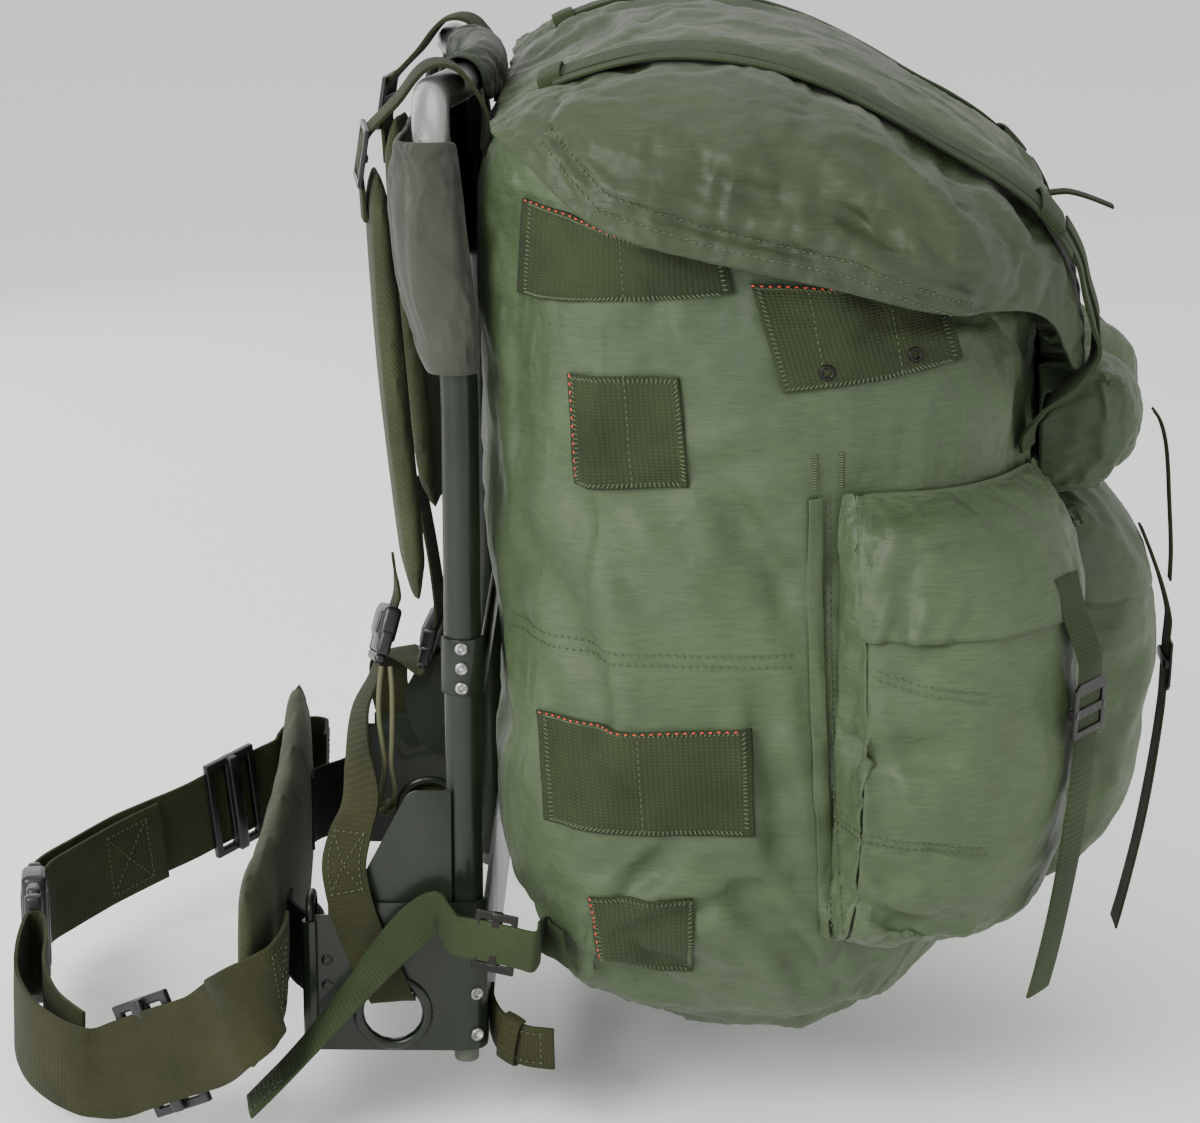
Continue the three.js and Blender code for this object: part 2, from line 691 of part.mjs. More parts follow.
function envelopeRow(share) {
  const z = ENVELOPE_BOTTOM + share * (ENVELOPE_TOP - ENVELOPE_BOTTOM);
  const tube = tubeSideX(z);
  const shoulder = Math.max(0, z - (TOP_BAR_HEIGHT - TOP_BEND_RADIUS)) / TOP_BEND_RADIUS;
  const drawIn = TOP_BEND_RADIUS * (1 - Math.sqrt(Math.max(0, 1 - shoulder ** 2)));
  const side = TUBE_Y - drawIn;
  const round = TUBE_RADIUS + GAP + 0.6;
  const bulge = 5 * Math.sin(share * Math.PI * 0.9);
  const half = [
    [tube + 1.15 * round - 2.4, side + 0.32 * round],
    [tube + 0.75 * round, side + 1.05 * round],
    [tube, side + 1.3 * round],
    [tube - 0.8 * round, side + 1.0 * round],
    [tube - 1.25 * round - bulge, side + 0.2 * round],
    [tube - 1.3 * round - bulge, side - 2.5 * round],
    [tube - 1.2 * round - 0.4 * bulge, 0.35 * TUBE_Y],
    [tube - 1.2 * round, 0],
  ];
  const near = half.map(([x, y]) => point(x, -y, z));
  const far = half.slice(0, -1).map(([x, y]) => point(x, y, z)).reverse();
  return near.concat(far);
}

addPiece('frame_envelope', clothPanel(ENVELOPE_ROWS.map(envelopeRow), ENVELOPE), 'envelopeCloth');

// Middle sleeve: gathered cloth from the wearer's side over the top bar to the bag
function envelopeTop() {
  const half = 58;
  const over = TUBE_RADIUS + GAP + 1;
  const rows = [];
  for (const [turn, reach, lift] of [
    [-0.1, 1.3, -26], [0, 1.05, 0], [0.28, 1.13, 0], [0.5, 1.2, 0], [0.72, 1.1, 0], [0.94, 1.05, 0],
    [1, 1.12, -10],
  ]) {
    const row = [];
    for (let k = 0; k <= 8; k += 1) {
      const y = half * (k / 4 - 1);
      const gather = k % 2 === 0 ? 0 : 2.2;
      const angle = Math.PI * (1 - turn);
      const out = over * reach + gather * (lift === 0 ? 1 : 0.4);
      row.push(point(
        topBarX(y) + out * Math.cos(angle),
        y,
        TOP_BAR_HEIGHT + out * Math.sin(angle) + lift,
      ));
    }
    rows.push(row);
  }
  return clothPanel(rows, CLOTH);
}
addPiece('envelope_top', envelopeTop(), 'nylon');

// Lumbar pad: a flat cushion that bends a little round the wearer and stands a little askew
const PAD_X = -108;
const PAD_Z = 56;
const PAD_BEND = 8;
const PAD_SKEW = 6.5;
const PAD_TILT = 10;

function padCentre(share) {
  const x = PAD_X - PAD_BEND * share ** 2 - PAD_SKEW * share;
  return point(x, share * PAD_LENGTH / 2, PAD_Z - PAD_TILT * share);
}

function lumbarPad() {
  const rings = [];
  const shares = [-1, -0.97, -0.86, -0.6, -0.3, 0, 0.3, 0.6, 0.86, 0.97, 1];
  for (const share of shares) {
    const centre = padCentre(share);
    const end = (1 - Math.abs(share) ** 12) ** 0.5;
    const height = (PAD_HEIGHT / 2) * (0.78 + 0.22 * end);
    const thick = (PAD_THICKNESS / 2) * (0.3 + 0.7 * end);
    const ring = [];
    for (let k = 0; k < 12; k += 1) {
      const turn = (k / 12) * FULL_TURN;
      const cos = Math.cos(turn);
      const sin = Math.sin(turn);
      ring.push(point(
        centre.x + Math.sign(cos) * thick * Math.abs(cos) ** 0.6,
        centre.y,
        centre.z + Math.sign(sin) * height * Math.abs(sin) ** 0.6,
      ));
    }
    rings.push(ring);
  }
  return loftRings(rings);
}
addPiece('lumbar_pad', lumbarPad(), 'padCloth');

// Links: black webbing loops sewn to the back of the pad and turned round the wire bails
function padLink(sign) {
  const wireY = BAIL_OUTER_Y - BAIL_WIDTH;
  const clear = BAIL_WIRE / 2 + GAP + WEBBING / 2;
  const padBack = (y) => (
    padCentre((sign * y) / (PAD_LENGTH / 2)).x + PAD_THICKNESS / 2 + GAP + 0.3 + WEBBING / 2);
  const across = point(0, 0, 1);
  const route = [
    [padBack(wireY - 46), wireY - 46], [padBack(wireY - 30) + 0.6, wireY - 30],
    [SLEEVE_X - clear - 1, wireY - 8],
    [SLEEVE_X - 0.7 * clear, wireY + 0.8 * clear], [SLEEVE_X + 0.5 * clear, wireY + clear],
    [SLEEVE_X + 1.1 * clear, wireY - 1], [SLEEVE_X + 0.9 * clear, wireY - 12],
    [SLEEVE_X - 1, wireY - 24],
  ].map(([x, y]) => ({ at: point(x, sign * y, HOLE_Z + 20), across: across.clone() }));
  return webbingStrap(route, BELT_WIDTH * 0.9, WEBBING, 16);
}
addPiece('pad_link_left', padLink(-1), 'plastic');
addPiece('pad_link_right', padLink(1), 'plastic');

// Slide buckle: a ring in front of the strap joined to a bar behind it
function slideBuckle({ slot, length, bar, depth, thickness }) {
  const inner = thickness / 2 + GAP;
  const wide = slot + 2 * bar;
  const front = boxSolid([length, wide, depth], [0, 0, inner + depth / 2]);
  const window = boxSolid([length - 2 * bar, slot, 4 * depth], [0, 0, inner + depth / 2]);
  let buckle = front.subtract(window);
  for (const side of [-1, 1]) {
    const post = boxSolid([bar * 1.4, bar - 0.2, thickness + 2 * GAP + 2 * depth], [
      0, side * (slot + bar + 0.2) / 2, 0,
    ]);
    buckle = buckle.add(post);
  }
  const back = boxSolid([bar * 1.4, wide - 0.4, depth], [0, 0, -inner - depth / 2]);
  return fromSolid(buckle.add(back));
}

// Places a piece made along X, across Y and outward Z on a station of a strap
function placeOn(mesh, at, along, across) {
  const x = along.clone().normalize();
  const y = across.clone().addScaledVector(x, -across.dot(x)).normalize();
  const z = x.clone().cross(y);
  mesh.matrixAutoUpdate = true;
  mesh.quaternion.setFromRotationMatrix(new THREE.Matrix4().makeBasis(x, y, z));
  mesh.position.copy(at);
}

// Four points in line, so that a strap runs straight through its buckle
function straightThrough(at, along, length) {
  const unit = along.clone().normalize();
  return [-1.1, -0.4, 0.4, 1.1].map((share) => at.clone().addScaledVector(unit, share * length));
}

// Waist belt: each half runs from the back of the pad round its end, through a slider, to the
// buckle bar and back along its own inside
const BELT_ACROSS = point(0.04, 0, 1);
const BELT_SIDES = {
  left: {
    sign: -1,
    slider: point(-160, -181, 15),
    along: point(-60, 32, -34),
    outer: [[-206, -160, -2], [-232, -134, 1], [-247, -100, 6], [-251, -66, 12]],
    turn: [[-249, -40.4, 14.6], [-244, -39.9, 14.6]],
    inner: [[-237, -62, 13], [-233, -94, 7], [-221, -124, 2], [-204, -146, 0]],
    start: [[-112, -211.5, 52], [-97, -206, 62], [-92, -190, 66], [-92, -168, 67]],
  },
  right: {
    sign: 1,
    slider: point(-160, 166, 32),
    along: point(-61, -66, -14),
    outer: [[-203, 119, 24], [-226, 101, 18], [-246, 74, 14], [-259, 52, 12]],
    turn: [[-261, 28.6, 12], [-256, 28, 12]],
    inner: [[-251, 48, 12], [-238, 70, 14], [-219, 96, 18], [-196, 120, 23]],
    start: [[-129, 207, 42], [-116, 212, 45], [-106, 204, 47], [-104, 189, 47.5], [-103.4, 170, 48]],
  },
};

function beltRows(side) {
  const across = BELT_ACROSS;
  const through = straightThrough(side.slider, side.along, 34);
  const start = side.start.map(([x, y, z]) => point(x, y, z)).reverse();
  const rest = [...side.outer, ...side.turn, ...side.inner].map(([x, y, z]) => point(x, y, z));
  return [...start, ...through, ...rest].map((at) => ({ at, across: across.clone() }));
}

for (const [name, side] of Object.entries(BELT_SIDES)) {
  addPiece(`belt_${name}`, webbingStrap(beltRows(side), BELT_WIDTH, WEBBING, 30), 'webbing');
  const slider = addPiece(`belt_slider_${name}`, slideBuckle({
    slot: BELT_WIDTH + 3, length: 36, bar: 5, depth: 4, thickness: WEBBING + 2 * GAP,
  }), 'plastic');
  placeOn(slider, side.slider, side.along.clone().multiplyScalar(-side.sign), BELT_ACROSS);
}

// Belt buckle: a plug and a socket in line, side by side with a gap between them
const BUCKLE_LENGTH = 62;
const BUCKLE_HEIGHT = 66;
const BUCKLE_THICKNESS = 15;

function buckleHalf(sign) {
  const bar = 6;
  const reach = BUCKLE_LENGTH / 2;
  const middle = sign * (reach / 2 + GAP / 2);
  let half = boxSolid([reach - GAP, BUCKLE_HEIGHT, BUCKLE_THICKNESS], [middle, 0, 0]);
  const slotX = sign * (reach - 6 - bar / 2);
  half = half.subtract(boxSolid([6, BELT_WIDTH + 4, 40], [slotX, 0, 0]));
  return fromSolid(half);
}

const BUCKLE_AT = point(-252, -6, 13);
const BUCKLE_ALONG = point(-12, 78, -3);
const PLUG = addPiece('belt_buckle_plug', buckleHalf(-1), 'plastic');
placeOn(PLUG, BUCKLE_AT, BUCKLE_ALONG, point(0, 0, 1));
const SOCKET = addPiece('belt_buckle_socket', buckleHalf(1), 'plastic');
placeOn(SOCKET, BUCKLE_AT, BUCKLE_ALONG, point(0, 0, 1));

// Shoulder straps: a padded strap with its top webbing over the top bar and its lower webbing
// through the hole of the wing
const STRAP_TWIST = 0.15;
const strapAcross = point(STRAP_TWIST, -1, 0);

const SHOULDER_ROUTE = [
  [-45, SHOULDER_Y, 466], [-43, SHOULDER_Y, 430], [-40, SHOULDER_Y + 1, 385],
  [-36, SHOULDER_Y + 2, 335], [-31, SHOULDER_Y + 4, 285], [-27, SHOULDER_Y + 6, 240],
];

function shoulderStrap() {
  const rows = routeRows(SHOULDER_ROUTE.map(([x, y, z]) => [x, -y, z]), strapAcross);
  const section = (share) => {
    const end = (1 - Math.abs(2 * share - 1) ** 8) ** 0.5;
    const a = (SHOULDER_WIDTH / 2) * (0.45 + 0.55 * end);
    const n = (SHOULDER_THICKNESS / 2) * (0.35 + 0.65 * end);
    return [[-a, -0.4 * n], [-0.8 * a, -n], [0.8 * a, -n], [a, -0.4 * n],
      [a, 0.4 * n], [0.8 * a, n], [-0.8 * a, n], [-a, 0.4 * n]];
  };
  return sweep(stationsAlong(rows, 10), section);
}

const OVER_BAR = TUBE_RADIUS + GAP + WEBBING / 2 + 0.3;

function topStrapRows() {
  const barX = topBarX(SHOULDER_Y);
  const frontX = SHOULDER_ROUTE[0][0] - SHOULDER_THICKNESS / 2 - GAP - WEBBING / 2;
  const points = [[BAG_FRONT - 4.6, 474], [BAG_FRONT - 3.4, 486], [BAG_FRONT - 4, 497]];
  for (const turn of [0.2, 0.35, 0.5, 0.65, 0.8]) {
    points.push([
      barX + 1.32 * OVER_BAR * Math.cos(turn * Math.PI),
      TOP_BAR_HEIGHT + 1.34 * OVER_BAR * Math.sin(turn * Math.PI),
    ]);
  }
  points.push([-35, 499], [frontX + 3, 484], [frontX - 0.4, 468], [frontX + 0.6, 454], [frontX + 1.4, 440]);
  return points.map(([x, z]) => ({ at: point(x, -SHOULDER_Y, z), across: strapAcross.clone() }));
}

const RELEASES = {
  left: { at: point(-43, -93, 220), drop: point(-8, -8, -30) },
  right: { at: point(-30, 96, 160), drop: point(-6, 12, -30) },
};

function lowerStrapRows(side, sign) {
  const { at, drop } = RELEASES[side];
  const wing = TUBE_Y + BAND_OUTER;
  const lift = GAP + WEBBING / 2;
  const across = point(1, 0, 0);
  const face = point(STRAP_TWIST, sign, 0);
  const padX = -29.2 - SHOULDER_THICKNESS / 2 - GAP - THIN_WEBBING / 2;
  const rows = [
    { at: point(padX - 1.6, sign * 94, 256), across: face.clone() },
    ...straightThrough(at, drop, 20).map((p) => ({ at: p, across: face.clone() })),
  ];
  if (side === 'left') {
    rows.push({ at: point(-58, sign * 108, 176), across: point(0.4, sign, 0) });
  }
  rows.push(
    { at: point(-55, sign * 132, 140), across: point(0.8, 0.6 * sign, 0) },
    { at: point(-62, sign * (wing - 2), 118), across: across.clone() },
    { at: point(-60, sign * (wing + lift + 1.5), 98), across: across.clone() },
    { at: point(-52, sign * (wing + lift + 2.4), 72), across: across.clone() },
    { at: point(-43, sign * (wing + lift + 3), 52), across: across.clone() },
    { at: point(HOLE_X, sign * (wing + 1), 38.2), across: across.clone() },
    { at: point(HOLE_X, sign * (wing - 7), 37.6), across: across.clone() },
  );
  return rows;
}

for (const [side, sign] of [['left', -1], ['right', 1]]) {
  const flip = (geometry) => (sign < 0 ? geometry : mirroredGeometry(geometry));
  addPiece(`shoulder_strap_${side}`, flip(shoulderStrap()), 'padCloth');
  addPiece(
    `top_strap_${side}`, flip(webbingStrap(topStrapRows(), WEBBING_WIDTH, WEBBING, 20)), 'webbing',
  );
  const rows = lowerStrapRows(side, sign);
  addPiece(`lower_strap_${side}`, webbingStrap(rows, WEBBING_WIDTH - 2, THIN_WEBBING, 20), 'webbing');
  const release = addPiece(`release_buckle_${side}`, slideBuckle({
    slot: WEBBING_WIDTH + 1, length: 24, bar: 5, depth: 5, thickness: THIN_WEBBING,
  }), 'plastic');
  const { at, drop } = RELEASES[side];
  placeOn(release, at, drop, point(STRAP_TWIST, sign, 0).multiplyScalar(-sign));
}

// Release cords: two short cords from the left release buckle to a shared knot
const CORD_ROUTES = {
  release_cord_front: [
    [-44.6, -110, 206], [-45.6, -115, 195], [-46, -115, 180], [-44.5, -115, 165], [-43.4, -115, 152],
    [-45, -116, 140], [-46, -116, 129],
  ],
  release_cord_rear: [
    [-40, -110, 206], [-39, -114, 195], [-39, -115, 180], [-39.4, -115, 165], [-39.8, -115, 152],
    [-38, -116, 141], [-38.6, -116, 132],
  ],
};

function cordTube(route) {
  const section = new THREE.Shape();
  section.absarc(0, 0, CORD_DIAMETER / 2, 0, FULL_TURN, false);
  const path = new THREE.CatmullRomCurve3(route.map(([x, y, z]) => point(x, y, z)));
  return new THREE.ExtrudeGeometry(section, {
    steps: 9, curveSegments: 4, bevelEnabled: false, extrudePath: path,
  });
}
for (const [name, route] of Object.entries(CORD_ROUTES)) {
  addPiece(name, cordTube(route), 'webbing');
}

// Lid straps: two layers from the frame side over the lid and down its rear slit to the bag
const LID_STRAP_Y = 110;

// Turn at which a row of the lid reaches a distance from the middle
function lidTurn(row, y) {
  let turn = 0;
  while (turn < 1 && lidPoint(row, turn).y < y) {
    turn += 0.01;
  }
  return turn;
}

function lidStrapRows() {
  const rows = [];
  const lift = CLOTH + WEBBING / 2 + 1.6;
  for (const row of LID_ROWS.slice(1)) {
    const turn = lidTurn(row, LID_STRAP_Y);
    const at = lidPoint(row, turn);
    const side = lidPoint(row, turn - 0.08).sub(lidPoint(row, Math.min(turn + 0.08, 1)));
    rows.push({ at, side });
  }
  const strap = rows.map(({ at, side }, index) => {
    const before = rows[Math.max(index - 1, 0)].at;
    const after = rows[Math.min(index + 1, rows.length - 1)].at;
    const along = after.clone().sub(before);
    const out = along.cross(side).negate().normalize();
    const hem = index === rows.length - 1 ? 2.5 : 0;
    const place = at.clone().addScaledVector(out, lift + hem);
    return { at: point(place.x, -place.y, place.z), across: point(side.x, -side.y, side.z) };
  });
  const outward = bagNormal(0.72, degrees(-31));
  const across = point(-outward.y, outward.x, 0);
  for (const [level, lean] of [[0.75, 13], [0.715, GAP + 0.7 * WEBBING], [0.695, GAP + 0.7 * WEBBING]]) {
    strap.push({ at: onBag(level, degrees(-31), lean), across: across.clone() });
  }
  return strap;
}

for (const [side, sign] of [['left', -1], ['right', 1]]) {
  const geometry = webbingStrap(lidStrapRows(), WEBBING_WIDTH, WEBBING, 22);
  addPiece(`lid_strap_${side}`, sign < 0 ? geometry : mirroredGeometry(geometry), 'darkWebbing');
}

// Pull tab: a folded tape that stands out from the rear of the lid
const pullRoute = [[305.9, 0, 438], [317, 0, 439], [329, 0, 436], [342, 0, 431]];
addPiece('pull_tab', webbingStrap(
  routeRows(pullRoute, point(0, -1, 0)), WEBBING_WIDTH / 2, THIN_WEBBING, 6,
), 'webbing');

// Straps and slide buckles that close the large pockets
function pocketOut(pocket, level, angle, lift) {
  return onBag(level, angle, lift + pocketLift(pocket, level, angle));
}

for (const pocket of POCKETS) {
  const angle = degrees(pocket.strap);
  const span = pocket.high - pocket.low;
  const lift = 3 * GAP + 2 * CLOTH + THIN_WEBBING / 2 + 3.2;
  const at = (share) => pocketOut(pocket, pocket.low + share * span, angle, lift);
  const outward = bagNormal(0.4, angle);
  const across = point(-outward.y, outward.x, 0).normalize();
  const buckleAt = at(0.52).addScaledVector(outward, 2.5);
  const down = point(-0.03 * outward.x, -0.03 * outward.y, -1);
  const head = [[0.82, 4.4], [0.74, 3.2]].map(([share, sink]) => at(share).addScaledVector(outward, -sink));
  const points = [...head, ...straightThrough(buckleAt, down, 24)];
  for (const drop of [70, 105, 140, 158]) {
    points.push(buckleAt.clone().addScaledVector(down, drop)
      .addScaledVector(outward, -0.0007 * drop ** 2));
  }
  const rows = points.map((p) => ({ at: p, across: across.clone() }));
  const name = pocket.name.replace('pocket', 'pocket_strap');
  addPiece(name, webbingStrap(rows, POCKET_WEBBING_WIDTH, THIN_WEBBING, 18), 'darkWebbing');
  const buckle = addPiece(pocket.name.replace('pocket', 'pocket_buckle'), slideBuckle({
    slot: POCKET_WEBBING_WIDTH + 1, length: 24, bar: 4.5, depth: 2.2, thickness: THIN_WEBBING,
  }), 'darkMetal');
  placeOn(buckle, buckleAt, down, across);
}

// Compression strap: sewn to the side of the bag, round the tube, its tail twisting to the front
function compressionRows() {
  const sewn = [[56, 78], [44, 80]].map(([x, z]) => ({
    at: sidePoint(x, z, 2 * GAP + WEBBING + 1.2),
    across: sidePoint(x, z + 10, 0).sub(sidePoint(x, z - 10, 0)).normalize(),
  }));
  const through = straightThrough(COMPRESSION_AT, COMPRESSION_ALONG, 20).map((at) => (
    { at, across: point(0, 0, 1) }));
  const free = COMPRESSION_TAIL.map(({ x, out, z, twist }) => (
    { at: point(x, -TUBE_Y - out, z), across: point(0, twist, 1).normalize() }));
  return [...sewn, ...through, ...free];
}

// Tail of the compression strap: places below the buckle, how far outside the tube's axis each
// lies and how far the strap has twisted there
const COMPRESSION_TAIL = [
  { x: -14, out: 24, z: 92, twist: 0.25 },
  { x: -32, out: 28, z: 78, twist: 0.6 },
  { x: -50, out: 32, z: 58, twist: 1.1 },
  { x: -70, out: 34, z: 34, twist: 1.9 },
  { x: -92, out: 34, z: 8, twist: 2.6 },
  { x: -112, out: 35, z: -13, twist: 3 },
];

// A point on the near side of the bag at a place of its front view, lifted off its surface
function sidePoint(x, z, lift) {
  let level = (z - BAG_BOTTOM) / BAG_HEIGHT;
  let angle = -QUARTER;
  for (let round = 0; round < 6; round += 1) {
    const section = sectionAt(level);
    const waist = BAG_FRONT + WAIST_SHARE * BAG_DEPTH;
    const front = BAG_FRONT + section.front * BAG_DEPTH;
    const rear = BAG_FRONT + section.rear * BAG_DEPTH;
    const squareness = x < waist ? FRONT_SQUARENESS : REAR_SQUARENESS;
    const share = clamp01(Math.abs(x - waist) / (x < waist ? waist - front : rear - waist));
    angle = -QUARTER + Math.sign(x - waist) * Math.asin(Math.min(share ** (squareness / 2), 1));
    level = clamp01(level + (z - bagPoint(level, angle).z) / BAG_HEIGHT);
  }
  return facetPoint(level, angle).addScaledVector(bagNormal(level, angle), lift);
}

const COMPRESSION_OUT = 45;
const COMPRESSION_AT = point(17, -TUBE_Y - COMPRESSION_OUT, 84);
const COMPRESSION_ALONG = point(-30, 9, 3);
addPiece('compression_strap', webbingStrap(
  compressionRows(), POCKET_WEBBING_WIDTH, THIN_WEBBING, 22,
), 'darkWebbing');
const compressionBuckle = addPiece('compression_buckle', slideBuckle({
  slot: POCKET_WEBBING_WIDTH + 1, length: 22, bar: 4.5, depth: 2.2, thickness: THIN_WEBBING,
}), 'darkMetal');
placeOn(compressionBuckle, COMPRESSION_AT, COMPRESSION_ALONG, point(0, 0, 1));

// Stub strap: a short webbing end that leaves the band behind the left tube
const stubStart = TUBE_RADIUS + GAP + PLATE + GAP + WEBBING / 2;
const stubRoute = [
  [stubStart, -120, 22], [stubStart + 0.4, -134, 20], [stubStart + 6, -148, 16],
  [stubStart + 18, -158, 13], [stubStart + 34, -163, 13],
];
addPiece('stub_strap', webbingStrap(
  routeRows(stubRoute, point(0, 0, 1)), WEBBING_WIDTH - 2, WEBBING, 12,
), 'webbing');

// Webbing patches on the left side, by their corners in the side view: two at the top, two below
const PATCHES = [
  { name: 'patch_top_front', top: [[34, 464], [132, 441]], low: [[31, 415], [136, 426]] },
  { name: 'patch_top_rear', top: [[144, 430], [236, 428]], low: [[160, 379], [248, 388]], proud: 0.5 },
  { name: 'patch_middle', top: [[56, 382], [110, 384]], low: [[60, 327], [115, 328]] },
  { name: 'patch_wide', top: [[40, 205], [146, 208]], low: [[44, 151], [149, 152]] },
  { name: 'patch_low', top: [[66, 115], [119, 117]], low: [[72, 70], [119, 69]] },
];

// Patches lie a little proud of the bag, and more so round its front corner
const PATCH_LIFT = GAP + 1;
const PATCH_CORNER_X = 66;
const PATCH_CORNER_LIFT = 0.11;

function patchPanel({ top, low, proud = 0 }) {
  const rows = [];
  for (const down of [0, 0.25, 0.5, 0.75, 1]) {
    const row = [];
    for (const along of [0, 0.2, 0.4, 0.6, 0.8, 1]) {
      const mix = (a, b, share) => a + (b - a) * share;
      const x = mix(mix(top[0][0], top[1][0], along), mix(low[0][0], low[1][0], along), down);
      const z = mix(mix(top[0][1], top[1][1], along), mix(low[0][1], low[1][1], along), down);
      const corner = PATCH_CORNER_LIFT * Math.max(PATCH_CORNER_X - x, 0);
      row.push(sidePoint(x, z, PATCH_LIFT + proud + corner));
    }
    rows.push(row);
  }
  return clothPanel(rows, PATCH);
}
for (const patch of PATCHES) {
  addPiece(patch.name, patchPanel(patch), 'darkWebbing');
}

// Tie strap: a thin tape that hangs from the middle small pocket, with a flat end
const tieTop = pocketOut(SMALL_POCKETS[1], 0.671, 0, 2 * GAP + CLOTH + THIN_WEBBING / 2);
const tieRoute = [[0, 0], [4, -6], [8, -20], [11, -50], [13, -78], [13, -96]];
addPiece('tie_strap', webbingStrap(
  routeRows(tieRoute.map(([x, z]) => [tieTop.x + x, tieTop.y, tieTop.z + z]), point(0, -1, 0)),
  9, THIN_WEBBING, 12,
), 'darkWebbing');

// The finished pack, moved so that its origin is the middle of the top bar
const externalFrameBackpack = new THREE.Group();
pack.position.set(-topBarX(0), 0, -TOP_BAR_HEIGHT);
externalFrameBackpack.add(pack);

export default externalFrameBackpack;
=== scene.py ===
# %% [markdown]
# An external frame pack: a painted tube frame that carries a soft cloth bag. The measured frame is
# loaded first, and every piece made here takes its place from it. Hard pieces keep their measured
# form with a finer surface, and soft ones are swollen, creased and stitched over theirs. The noise
# gets a seed, so that every run makes the same creases.

# %% Load the frame
import math
import bmesh
import bpy
import numpy as np
from mathutils import Matrix, Vector, noise
from mathutils.bvhtree import BVHTree
from mathutils.kdtree import KDTree


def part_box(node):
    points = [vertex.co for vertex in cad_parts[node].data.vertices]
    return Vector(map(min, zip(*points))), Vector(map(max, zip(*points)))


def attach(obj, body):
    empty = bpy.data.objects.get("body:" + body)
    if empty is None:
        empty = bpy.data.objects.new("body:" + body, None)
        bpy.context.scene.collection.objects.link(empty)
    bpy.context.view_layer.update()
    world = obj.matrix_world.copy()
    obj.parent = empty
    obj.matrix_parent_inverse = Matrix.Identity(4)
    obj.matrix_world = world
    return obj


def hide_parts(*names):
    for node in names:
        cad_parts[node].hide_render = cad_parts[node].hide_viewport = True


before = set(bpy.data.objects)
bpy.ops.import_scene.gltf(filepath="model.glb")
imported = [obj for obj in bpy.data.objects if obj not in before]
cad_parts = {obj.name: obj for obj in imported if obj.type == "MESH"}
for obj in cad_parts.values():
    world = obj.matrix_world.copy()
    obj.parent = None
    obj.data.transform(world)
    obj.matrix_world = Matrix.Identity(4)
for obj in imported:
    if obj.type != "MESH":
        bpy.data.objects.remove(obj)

NOISE_SEED = 7
noise.seed_set(NOISE_SEED)
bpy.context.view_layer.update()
print("frame loaded:", len(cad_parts), "pieces")

# %% [markdown]
# The pack was laid out in millimetres from the foot of its frame: X runs back from the wearer, Y to
# the wearer's right and Z up. Reading the foot's own box turns such a place into the frame's metres,
# so that the numbers below can be checked with a ruler on a real pack.

# %% Places in millimetres
MM = 0.001
foot_low, foot_high = (Vector(corner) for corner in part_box("foot_left"))
FOOT = Vector(((foot_low.x + foot_high.x) / 2, 0.0, foot_low.z))
TUBE_Y = -(foot_low.y + foot_high.y) / 2 / MM


def at(x, y, z):
    return FOOT + Vector((x, y, z)) * MM


print("foot at", [round(v, 4) for v in FOOT], "tube offset", round(TUBE_Y, 1), "mm")

# %% [markdown]
# The photograph looks square at the left side from a little above, with a long lens. The camera
# stands two metres away, pitched down by sixteen degrees.

# %% Camera
CAMERA_AT = at(101.4, -1916.2, 781.8)
CAMERA_LOOK = Vector((-0.016776, 0.961115, -0.275637))
camera_data = bpy.data.cameras.new("camera")
camera_data.lens = 108.6
camera_data.sensor_width = 36.0
camera_data.sensor_fit = "HORIZONTAL"
camera = bpy.data.objects.new("camera", camera_data)
camera.location = CAMERA_AT
camera.rotation_euler = CAMERA_LOOK.to_track_quat("-Z", "Y").to_euler()
bpy.context.collection.objects.link(camera)
bpy.context.scene.camera = camera
print("camera at", [round(v, 3) for v in CAMERA_AT])

# %% [markdown]
# The stage is a wide pale floor below the hanging straps. Four large soft lights and a bright pale
# surround give the even light of a studio, with the main one in front on the left.

# %% Stage and lights
FLOOR_Z = at(0, 0, -42).z
FLOOR_REACH = 30.0
floor = bpy.data.objects.new("floor", bpy.data.meshes.new("floor"))
sheet_form = bmesh.new()
bmesh.ops.create_grid(sheet_form, x_segments=1, y_segments=1, size=FLOOR_REACH)
bmesh.ops.translate(sheet_form, verts=sheet_form.verts, vec=(0, 0, FLOOR_Z))
sheet_form.to_mesh(floor.data)
sheet_form.free()
bpy.context.collection.objects.link(floor)

LIGHTS = [
    {"name": "key", "from": (-1000, -1400, 1150), "size": 0.9, "watts": 46.0},
    {"name": "fill", "from": (1600, -1100, 700), "size": 1.6, "watts": 10.0},
    {"name": "top", "from": (200, 200, 1900), "size": 1.2, "watts": 8.0},
    {"name": "rim", "from": (-900, 1500, 900), "size": 1.4, "watts": 8.0},
]
for row in LIGHTS:
    lamp = bpy.data.lights.new(row["name"], "AREA")
    lamp.energy = row["watts"]
    lamp.size = row["size"]
    light = bpy.data.objects.new(row["name"], lamp)
    light.location = at(*row["from"])
    light.rotation_euler = (at(120, 0, 250) - light.location).to_track_quat("-Z", "Y").to_euler()
    bpy.context.collection.objects.link(light)

world = bpy.data.worlds.new("world")
world.use_nodes = True
surround = world.node_tree.nodes["Background"].inputs
surround["Color"].default_value = (1.0, 1.0, 1.0, 1.0)
surround["Strength"].default_value = 0.95
bpy.context.scene.world = world
print("lights:", len(LIGHTS))

# %% [markdown]
# Every finish is built from nodes. The small helpers here add a node, a noise, a blend or a bump,
# so that each finish below reads as a short recipe of what the real surface shows.

# %% Helpers for finishes
def srgb(red, green, blue):
    def linear(value):
        value /= 255.0
        return value / 12.92 if value <= 0.04045 else ((value + 0.055) / 1.055) ** 2.4
    return (linear(red), linear(green), linear(blue), 1.0)


def new_finish(name):
    material = bpy.data.materials.new(name)
    material.use_nodes = True
    return material, material.node_tree, material.node_tree.nodes["Principled BSDF"]


